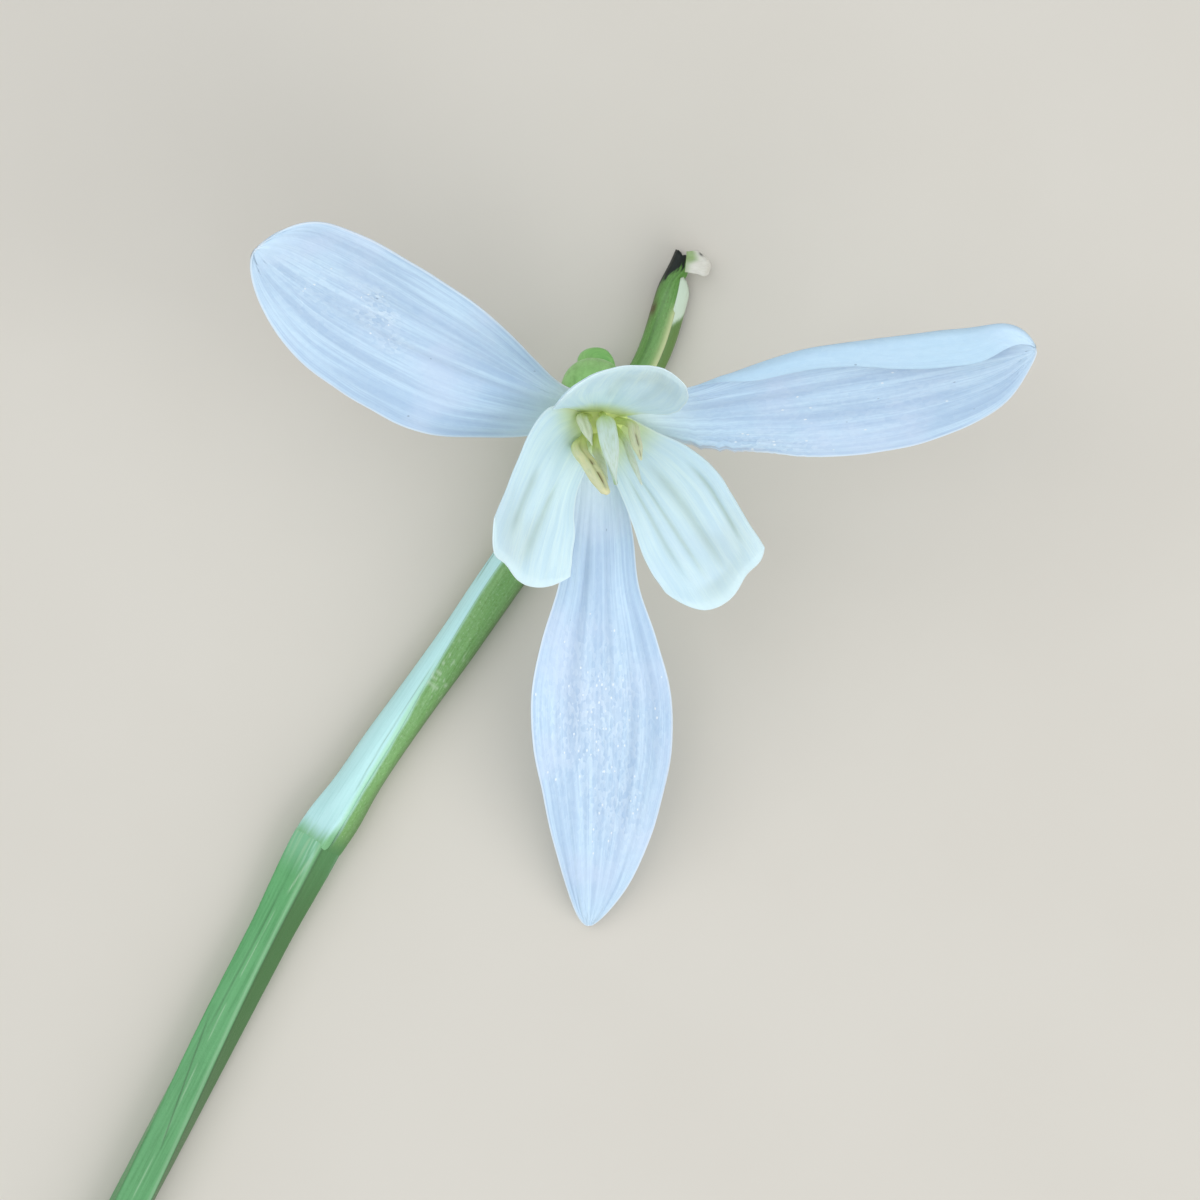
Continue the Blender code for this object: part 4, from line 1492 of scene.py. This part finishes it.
@dataclass(frozen=True)
class Shell:
    """A bract or skin of the spathe.

    Fields:
        node: the solid that it stands for.
        begins: where it begins along the spathe.
        ends: where it ends.
        first: angle of its one edge round the spathe, at even steps along it.
        second: angle of its other edge.
        lift: how far it stands out from the spathe's tube, at even steps along it.
        tuck: how far its edges dip below the neighbours' skin.
        ragged: how uneven its far end is, as a share of the spathe's length.
        peak: place across it where its far end reaches furthest, and how much the end falls off from there.
        opening: how far its first edge moves on round the spathe at its far end, in degrees.
        seed: start of its noise.
        thickness: of the skin.
    """

    node: str
    begins: float
    ends: float
    first: tuple[float, ...]
    second: tuple[float, ...]
    lift: tuple[float, ...]
    seed: float
    tuck: float = 0.0
    ragged: float = 0.0
    peak: tuple[float, float] = (0.0, 0.0)
    opening: float = 0.0
    thickness: float = 0.2

    def along(self, s: float, v: float) -> float:
        """Returns the place along the spathe at a place on the shell."""
        drop = self.peak[1] * abs(v - self.peak[0]) ** 1.2
        return mixed(self.begins, self.ends - drop * smooth_step(s, 0.7, 1.0), s)

    def angle(self, s: float, v: float) -> float:
        """Returns the angle round the spathe at a place on the shell, in degrees."""
        first = smooth_curve(self.first, s) - self.opening * smooth_step(s, 0.958, 0.992)
        return mixed(first, smooth_curve(self.second, s), (v + 1) / 2)

    def place(self, s: float, v: float) -> Vector:
        """Finds a point of the shell's outside.

        Args:
            s: place along it.
            v: place across it.

        Returns:
            The point.
        """
        angle = self.angle(s, v)
        t = self.along(s, v) + self.ragged * ripple(v * 4.0, self.seed, 2.0) * smooth_step(s, 0.85, 1.0)
        lift = smooth_curve(self.lift, s) - self.tuck * smooth_step(abs(v), 0.7, 1.0)
        lift += 0.03 * ripple(t * 9.0, angle / 30.0, self.seed) * smooth_step(t, 0.0, 0.06)
        lift += 4 * self.ragged * ripple(t * 40.0, v * 3.0, self.seed) * smooth_step(s, 0.93, 1.0)
        return SPATHE_TUBE.skin(t, angle, lift)

    def flat(self, s: float, v: float) -> tuple[float, ...]:
        """Returns the point's measure along and round the shell, in millimetres."""
        return self.along(s, v) * SPATHE_LENGTH, math.radians(self.angle(s, v)), self.seed

    def build(
        self, name: str, tones: Values, material: bpy.types.Material, slot: Slot, faces: tuple[int, int]
    ) -> None:
        """Makes the shell and hands it over for its solid.

        Args:
            name: the piece's name.
            tones: gives the values that its material reads.
            material: its material.
            slot: the record's slot, which is handed on.
            faces: faces along it and round it.
        """
        piece = grid_piece(name, *faces, self.place, tones, self.flat)
        thicken(piece, self.thickness, -1.0)
        hand_over(piece, material, slot, (self.node,))


@dataclass(frozen=True)
class Spathe:
    """The sheath below the flower: two green bracts that a papery skin joins along one side.

    Fields:
        main: the larger bract, with the withered tip.
        second: the smaller bract along its right side.
        skin_between: the papery skin along its lower left side.
        flap_root: middle of the line that the torn skin grows from.
        flap_length: its length.
        flap_sides: its half-width at even steps from root to end.
        flap_turns: how steeply it rises at its root and at its end, in degrees.
        flap_thickness: its thickness.
    """

    main: Shell = Shell(
        node="spathe_bract_main", begins=-0.02, ends=1.0, seed=2.0,
        first=(190.0, 190.0, 190.0, 190.0, 190.0, 185.0, 160.0, 110.0, 66.0, 64.0, 66.0),
        second=(350.0, 350.0, 350.0, 350.0, 350.0, 350.0, 348.0, 340.0, 325.0, 290.0, 185.0),
        lift=(0.0, 0.0, 0.0, 0.0, 0.0, 0.0, 0.0, 0.03, 0.05, 0.11, -0.1),
        ragged=0.006, peak=(0.9, 0.005), opening=56.0,
    )
    second: Shell = Shell(
        node="spathe_bract_second", begins=-0.02, ends=0.962, seed=5.0,
        first=(-14.0, -14.0, -14.0, -14.0, -14.0, -14.0, -14.0, -20.0, -26.0, -24.0, -10.0),
        second=(56.0, 64.0, 72.0, 94.0, 110.0, 114.0, 100.0, 84.0, 78.0, 76.0, 70.0),
        lift=(0.0, 0.02, 0.02, 0.02, 0.02, 0.02, 0.0, -0.02, -0.08, 0.08, 0.06),
        ragged=0.004, peak=(0.8, 0.014),
    )
    skin_between: Shell = Shell(
        node="spathe_membrane", begins=-0.015, ends=0.535, seed=8.0,
        first=(44.0, 52.0, 60.0, 76.0, 96.0, 104.0),
        second=(200.0, 200.0, 200.0, 200.0, 198.0, 186.0),
        lift=(0.0, 0.0, 0.0, 0.0, 0.0, -0.05),
        tuck=0.1,
    )
    flap_root: tuple[float, float, float] = (4.2, 7.98, 1.5)
    flap_length: float = 1.5
    flap_sides: tuple[float, ...] = (0.5, 0.54, 0.57, 0.58, 0.54, 0.36)
    flap_turns: tuple[float, float] = (30.0, -38.0)
    flap_thickness: float = 0.1

    def main_tones(self, s: float, v: float) -> tuple[float, ...]:
        """Reads what the main bract's material needs to know of a point.

        Args:
            s: place along it.
            v: place across it.

        Returns:
            How withered, how bruised and how pale it is, how much of the stalk's colour it has, how speckled
            it is and how much painted shade it has.
        """
        t, angle = self.main.along(s, v), self.main.angle(s, v)
        rough = t + 0.012 * ripple(t * 60, angle / 12, 3.0)
        slant = 0.0004 if angle > 90.0 else 0.0002
        black = smooth_step(rough + slant * (angle - 90.0), 0.968, 0.976)
        rim = 0.6 * smooth_step(t, 0.86, 0.9) * smooth_step(angle, 140.0, 165.0)
        nick = hump(t, 0.907, 0.012) * smooth_step(angle, 125.0, 145.0)
        line = between(t, 0.6, 0.7, 0.9, 0.93) * hump(v, -1.0, 0.15)
        root = 1 - smooth_step(t, -0.01, 0.05)
        # Painted shade on the shoulder near the tip and along a line of the fold.
        shoulder_shade = 0.3 * smooth_step(t, 0.9, 0.96) * smooth_step(angle, 100.0, 150.0)
        fold = 0.3 * hump(v, -0.52, 0.06) * smooth_step(t, 0.8, 0.86)
        return black, max(rim, nick), 0.9 * line, root, 0.3, max(shoulder_shade, fold)

    def second_tones(self, s: float, v: float) -> tuple[float, ...]:
        """Reads what the second bract's material needs to know of a point.

        Args:
            s: place along it.
            v: place across it.

        Returns:
            How much it has of the stalk's green, how olive and how pale it is, how much it turns to papery
            skin, how speckled it is and how much painted shade it has.
        """
        t, angle = self.second.along(s, v), self.second.angle(s, v)
        sway = ripple(t * 30, 2.0, 7.0)
        patch = smooth_step(t + angle * 0.0004 + 0.004 * sway, 0.908, 0.92)
        seam = 0.4 * smooth_step(t, 0.6, 0.7) * hump(angle, 62.0, 6.0)
        flank = (1 - smooth_step(angle, -5.0, 40.0)) * (0.25 + 0.4 * smooth_step(t, 0.03, 0.3))
        flank = max(flank, 0.8 * smooth_step(t, 0.7, 0.8)) * (1 - patch)
        from_edge = smooth_curve(self.second.second, s) - angle + 3.0 * sway
        paper = 0.7 * (1 - smooth_step(from_edge, 0.0, 9.0)) * between(t, -0.01, 0.03, 0.5, 0.6)
        pale_flecks = 0.4 * hump(t, 0.3, 0.05) * smooth_step(ripple(t * 300, angle / 9, 4.0), 0.25, 0.4)
        # Painted shade at the root beside the papery edge, and on the right side, fading out past the middle.
        root_shade = 0.5 * hump(from_edge, 0.0, 5.0) * (1 - smooth_step(t, 0.02, 0.05))
        rim = 0.25 * hump(angle, -8.0, 8.0) * (1 - patch)
        painted_shade = max(root_shade, 0.5 * (1 - smooth_step(t, 0.5, 0.7)) * (1 - smooth_step(angle, 0.0, 50.0)))
        root = (1 - smooth_step(t, -0.008, 0.03)) * (1 - 0.6 * paper)
        return root, flank, max(patch, 0.7 * seam, pale_flecks, rim), paper, 0.45 * (1 - patch), painted_shade

    def membrane_tones(self, s: float, v: float) -> tuple[float, ...]:
        """Reads what the papery skin's material needs to know of a point.

        Args:
            s: place along it.
            v: place across it.

        Returns:
            How green it is, how much painted shade it has along its crease, its curl and its lower edge, how
            much of the fold's colour it has, and three spare values.
        """
        t, angle = self.skin_between.along(s, v), self.skin_between.angle(s, v)
        strands = ripple(angle / 7.0, 2.0, 5.0)
        root = 1 - smooth_step(t + 0.012 * strands - 0.0008 * max(92.0 - angle, 0.0), -0.008, 0.026)
        # Painted shade along a crease, along the curl and towards the lower edge.
        line = hump(angle, 84.0 + 120.0 * (t - 0.1), 1.8) * between(t, 0.08, 0.1, 0.27, 0.31)
        curl = hump(angle, 152.0 + 90.0 * (t - 0.45), 3.0) * smooth_step(t, 0.42, 0.45)
        rim = 0.35 * smooth_step(angle, 168.0, 185.0)
        brink = smooth_curve(self.second.second, (t + 0.02) / 0.977)
        fold = (1 - smooth_step(angle - brink, 3.0, 18.0)) * (1 - smooth_step(t, 0.2, 0.35))
        fold *= smooth_step(t + 0.01 * strands, -0.006, 0.02)
        return root, max(0.55 * line, 0.6 * curl, rim), 0.85 * fold, 0.0, 0.0, 0.0

    def flap_place(self, s: float, v: float) -> Vector:
        """Finds a point of the torn skin that curls over beside the tip.

        Args:
            s: place along it, away from the tip.
            v: place across it.

        Returns:
            The point.
        """
        turn = math.radians(mixed(*self.flap_turns, s))
        outward = Vector((math.cos(turn), -0.08, math.sin(turn))).normalized() * (self.flap_length * s)
        sideways = Vector((0.1, 1.0, 0.0)).normalized()
        half = smooth_curve(self.flap_sides, s) * (1 + 0.1 * ripple(s * 4, v, 1.0))
        rounded = (-0.4 if v > 0 else -0.04) * self.flap_length * v * v * s
        crinkle = Vector((rounded, 0.0, 0.09 * ripple(s * 3.0, v * 2.0, 6.0)))
        return Vector(self.flap_root) + outward + sideways * (half * v) + crinkle

    def flap_tones(self, s: float, v: float) -> tuple[float, ...]:
        """Reads what the torn skin's material needs to know of a point.

        Args:
            s: place along it, away from the tip.
            v: place across it.

        Returns:
            How green it is, how much it belongs to the dark fleck, and four spare values.
        """
        upper = smooth_step(v, -0.4, 0.3)
        fade = smooth_step(s, mixed(0.0, 0.2, upper), mixed(0.25, 0.5, upper))
        fleck = hump(s, 0.55, 0.08) * hump(v, 0.72, 0.14)
        return mixed(0.55, 0.95, upper) * (1 - fade), fleck, 0.0, 0.0, 0.0, 0.0

    def build(self) -> None:
        """Makes the two bracts, the skin between them and its torn end."""
        green = PlantSkin(
            "Main bract skin, fresh", light="72A254", dark="5E9040", tip="171E17", stain="5A4E2C",
            pale="D2D6A0", joint="4F8048", fibres=26.0, roughness=0.4,
        ).dress()
        olive = PlantSkin(
            "Second bract skin, ageing", light="7FAE66", dark="6A9A52", tip="4C8048", stain="5E7A34",
            pale="D4E2CA", joint="B4E0CE", fibres=22.0, roughness=0.42,
        ).dress()
        paper = PaperSkin(
            "Papery skin of the spathe", light="D2FBF7", dark="BCECE6", green="86C288", stain="84AE96",
            fold="BCEEC6",
        ).dress()
        self.main.build("spathe_main_bract", self.main_tones, green, Slot.MAIN_BRACT, (200, 44))
        self.second.build("spathe_second_bract", self.second_tones, olive, Slot.SECOND_BRACT, (200, 44))
        self.skin_between.build("spathe_skin", self.membrane_tones, paper, Slot.MEMBRANE, (140, 48))
        flap = grid_piece(
            "spathe_torn_skin", along=36, across=30, place=self.flap_place, tones=self.flap_tones,
            flat=lambda s, v: (s * 1.3, v * 0.6, 3.0),
        )
        thicken(flap, self.flap_thickness, 0.0)
        torn = PaperSkin(
            "Torn papery skin, dry", light="F2EDE0", dark="DAD6C4", green="A2BC7C", stain="30352A",
            fold="DAD6C4",
        )
        hand_over(flap, torn.dress(), Slot.MEMBRANE, ("spathe_membrane_flap",))


@dataclass(frozen=True)
class Scape:
    """The leafless stalk, many-sided with a sharper ridge that winds slowly round it, and its cut end.

    Fields:
        route: its middle line seen from above, from inside the spathe to the cut.
        joint: the share of it that lies inside the spathe.
        radii: its radius at the joint and below it.
        narrows: where it narrows from the one to the other.
        dip: how much thinner it is inside the spathe.
        flat_depth: how deep its underside is flattened.
        cut_begins: the share of the grid's rows that form the skin, before those of the cut end.
        length: its length.
        girth: the way round it.
    """

    route: tuple[tuple[float, float], ...] = (
        (-12.9, -18.9), (-13.8, -20.4), (-18.9, -30.1), (-23.9, -39.8), (-29.2, -49.5), (-34.8, -59.0),
        (-40.6, -68.4),
    )
    joint: float = 0.05
    radii: tuple[float, float] = (1.13, 0.98)
    narrows: tuple[float, float] = (0.05, 0.14)
    dip: float = 0.22
    flat_depth: float = 0.15
    cut_begins: float = 0.965
    length: float = 57.0
    girth: float = 6.2

    def along_route(self, t: float) -> Vector:
        """Gives a point of the middle line seen from above.

        Args:
            t: place along it, 0 inside the spathe and 1 at the cut.

        Returns:
            The point.
        """
        route = tuple(Vector(point) for point in self.route)
        if t < self.joint:
            return mixed(route[0], route[1], t / self.joint)
        return smooth_curve(route[1:], (t - self.joint) / (1 - self.joint))

    def spread(self, grid_s: float) -> tuple[float, float]:
        """Returns a grid row's place along the stalk, and how far in from the rim of the cut end it lies."""
        cut = (grid_s - self.cut_begins) / (1 - self.cut_begins)
        return min(grid_s / self.cut_begins, 1.0), max(cut, 0.0)

    def place(self, grid_s: float, v: float) -> Vector:
        """Finds a point of the stalk's skin, or of its cut end with the rind standing round the softer pith.

        Args:
            grid_s: place along the grid.
            v: place round it.

        Returns:
            The point.
        """
        s, cut = self.spread(grid_s)
        here = self.along_route(s)
        ahead = self.along_route(min(s + 0.01, 1.0)) - self.along_route(max(s - 0.01, 0.0))
        ahead = Vector((ahead.x, ahead.y, 0.0)).normalized()
        level = Vector((-ahead.y, ahead.x, 0.0))
        radius = mixed(*self.radii, smooth_step(s, *self.narrows))
        radius -= self.dip * (1 - smooth_step(s, 0.01, 0.045))
        angle = -math.pi * v
        ribs = ripple(s * 12, 1.6 * math.cos(angle), 1.6 * math.sin(angle))
        out = radius * STALK_SECTION.reach(math.degrees(angle) - STALK_SECTION.turn(s)) * (1 + 0.012 * ribs)
        middle = Vector((here.x, here.y, radius - self.flat_depth))
        point = middle + level * (out * math.cos(angle)) + Vector((0.0, 0.0, out * math.sin(angle)))
        point.z = max(point.z, 0.0)
        sunk = 0.1 * smooth_step(cut, 0.12, 0.35) + 0.08 * smooth_step(cut, 0.7, 0.9)
        middle.z = max(middle.z, 0.3)
        return mixed(point, middle, 0.97 * cut) - ahead * (sunk - 0.03 * hump(cut, 0.08, 0.06))

    def tones(self, grid_s: float, v: float) -> tuple[float, ...]:
        """Reads what the stalk's material needs to know of a point.

        Args:
            grid_s: place along the grid.
            v: place round it.

        Returns:
            How much it belongs to the cut end's pith, to the painted shade of its right side and to the pale
            scratches and painted highlight of its ridge, how much it takes on the papery skin's colour, how
            speckled it is, and how much it is darkened further from the spathe and by painted shade in its
            crease, its furrow and beside its ridge.
        """
        s, cut = self.spread(grid_s)
        angle = math.degrees(-math.pi * v) % 360
        own = (angle - STALK_SECTION.turn(s)) % 360
        ridge = STALK_SECTION.ridge
        # Painted shade: the stalk's right side, up to its sharp ridge, is darkened as if lit from the left.
        right = 1 - smooth_step(own, ridge - 6.0, ridge + 1.0)
        if own > 180:
            right = smooth_step(own, 285.0, 330.0)
        right *= 0.9 * mixed(0.75, 1.0, smooth_step(s, 0.05, 0.12))
        gaps = smooth_step(ripple(s * 34.0, 2.0, 7.0), -0.2, 0.1)
        drift = mixed(108.0, 90.0, smooth_step(s, 0.2, 0.34))
        scratch = 0.7 * hump(angle, drift, 1.8) * gaps * between(s, 0.1, 0.12, 0.38, 0.44)
        fibre = hump(angle, 84.0 + 330.0 * (s - 0.055), 2.2) * between(s, 0.058, 0.065, 0.09, 0.1)
        # Painted highlight along the sharp ridge.
        ridge_highlight = 0.45 * hump(own, ridge + 4.0, 3.5)
        papery = (1 - smooth_step(s, 0.05, 0.085)) * smooth_step(own, ridge, ridge + 8.0)
        papery *= 1 - smooth_step(angle, 175.0, 195.0)
        strands = smooth_step(ripple(angle / 5.0, s * 20.0, 3.0), -0.05, 0.25)
        # Painted shade: a crease, a furrow and a line just beside the sharp ridge are darkened.
        crease_shade = hump(angle, mixed(132.0, 86.0, (s - 0.23) / 0.1), 2.2) * between(s, 0.21, 0.24, 0.32, 0.345)
        furrow = hump(angle, drift + 13.0, 3.5) * between(s, 0.08, 0.12, 0.2, 0.25)
        brink = 0.45 * hump(own, ridge - 5.0, 3.5)
        pale = max(scratch, 0.9 * fibre, ridge_highlight, 0.5 * papery * strands)
        # Besides that painted shade, the stalk darkens further from the spathe.
        painted_shade = 0.2 * smooth_step(s, 0.12, 0.36) + 0.55 * crease_shade + 0.35 * furrow + brink
        mint = papery * max(0.35, 0.9 * hump(angle, 84.0, 22.0) * (0.5 + strands))
        return smooth_step(cut, 0.05, 0.25), right, pale, min(mint, 1.0), 0.12, min(painted_shade, 1.0)

    def flat(self, s: float, v: float) -> tuple[float, ...]:
        """Returns the point's measure along and round the stalk, in millimetres."""
        return s * self.length, v * self.girth / 2, 0.0

    def build(self) -> None:
        """Makes the stalk with its cut end and hands it over."""
        stalk = tube_piece("scape_stalk", 380, 120, self.place, self.tones, self.flat)
        # Its stain colour is the painted shade of the stalk's right side.
        skin = PlantSkin(
            "Scape skin, waxy and cool green", light="6AB070", dark="589C5E", tip="C2D2A4", stain="406834",
            pale="A6CCA0", joint="A2DABC", fibres=34.0, roughness=0.38,
        )
        hand_over(stalk, skin.dress(), Slot.SCAPE, ("scape",))


@dataclass(frozen=True)
class Lamp:
    """A soft square lamp that shines on the flower.

    Fields:
        name: the lamp's name.
        place: where it hangs, in metres.
        size: its side, in metres.
        power: in watts.
        colour: its colour code.
    """

    name: str
    place: tuple[float, float, float]
    size: float
    power: float
    colour: str

    def build(self, aim: Vector) -> None:
        """Hangs the lamp and points it at the flower.

        Args:
            aim: the point that it shines on, in metres.
        """
        data = bpy.data.lights.new(self.name, "AREA")
        data.size = self.size
        data.energy = self.power
        data.color = linear_colour(self.colour)[:3]
        lamp = bpy.data.objects.new(self.name, data)
        bpy.context.scene.collection.objects.link(lamp)
        lamp.location = self.place
        lamp.rotation_euler = (aim - Vector(self.place)).to_track_quat("-Z", "Y").to_euler()


@dataclass(frozen=True)
class Studio:
    """A pale plain floor, soft lights and a camera that looks straight down on the flower.

    Fields:
        floor_size: the floor's side, in metres.
        floor_colours: the two shades of the floor.
        lamps: the lamps.
        sky: the sky light's colour.
        sky_strength: its strength.
        eye: the camera's place, in millimetres.
        lens: its focal length, in millimetres.
        sensor: the width of its sensor, in millimetres.
        aim: the point that the lamps shine on, in millimetres.
    """

    floor_size: float = 1.6
    floor_colours: tuple[str, str] = ("D8D0C3", "D0C7B9")
    lamps: tuple[Lamp, ...] = (
        Lamp("top_lamp", (0.0, -0.05, 0.42), 0.3, 0.25, "F8FBFF"),
        Lamp("right_lamp", (0.24, -0.22, 0.24), 0.35, 0.84, "F6FAFF"),
        Lamp("left_lamp", (-0.18, 0.1, 0.34), 0.35, 0.52, "F4F9FF"),
    )
    sky: str = "EEF6FF"
    sky_strength: float = 0.56
    eye: tuple[float, float, float] = (0.0, -8.49, 180.0)
    lens: float = 110.0
    sensor: float = 36.0
    aim: tuple[float, float, float] = (0.0, -8.0, 5.0)

    def floor(self) -> None:
        """Lays the floor, matt paper whose faint clouds keep it from looking like a flat colour."""
        bpy.ops.object.select_all(action="DESELECT")
        bpy.ops.mesh.primitive_plane_add(size=self.floor_size, location=(0.0, 0.0, 0.0))
        floor = bpy.context.object
        floor.name = "studio_floor"
        recipe = Recipe("Studio floor, matt paper")
        add = recipe.add
        clouds = add("TexNoise", {"Vector": add("TexCoord", out="Object"), "Scale": 60.0, "Detail": 3.0})
        share = add("MapRange", {0: clouds, 1: 0.3, 2: 0.7, 4: 0.25}, **SMOOTH)
        colour = add("Mix", {0: share, 6: self.floor_colours[0], 7: self.floor_colours[1]}, **BLEND)
        matt = add("BsdfPrincipled", {"Base Color": colour, "Roughness": 0.85, "Specular IOR Level": 0.2})
        add("OutputMaterial", {"Surface": matt})
        floor.data.materials.append(recipe.material)

    def camera(self) -> None:
        """Hangs the camera straight above the flower."""
        data = bpy.data.cameras.new("photo_view")
        data.lens = self.lens
        data.sensor_width = self.sensor
        data.clip_start = 0.01
        data.clip_end = 10.0
        camera = bpy.data.objects.new("photo_view", data)
        camera.location = Vector(self.eye) * MM
        bpy.context.scene.collection.objects.link(camera)
        bpy.context.scene.camera = camera

    def build(self) -> None:
        """Makes the camera, the floor, the lamps and the sky light."""
        self.camera()
        self.floor()
        for lamp in self.lamps:
            lamp.build(Vector(self.aim) * MM)
        bpy.context.scene.view_settings.view_transform = "Standard"
        world = bpy.data.worlds.new("soft_sky")
        world.use_nodes = True
        background = world.node_tree.nodes["Background"]
        background.inputs["Color"].default_value = linear_colour(self.sky)
        background.inputs["Strength"].default_value = self.sky_strength
        bpy.context.scene.world = world


def main() -> None:
    """Builds the flower from the tepals down to the stalk, then the studio."""
    logging.basicConfig(level=logging.INFO, format="%(message)s")
    Perianth().build()
    Stamens().build()
    Pistil().build()
    Pedicel().build()
    Spathe().build()
    Scape().build()
    Studio().build()
    bpy.ops.object.select_all(action="DESELECT")
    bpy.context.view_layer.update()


if __name__ == "__main__":
    main()
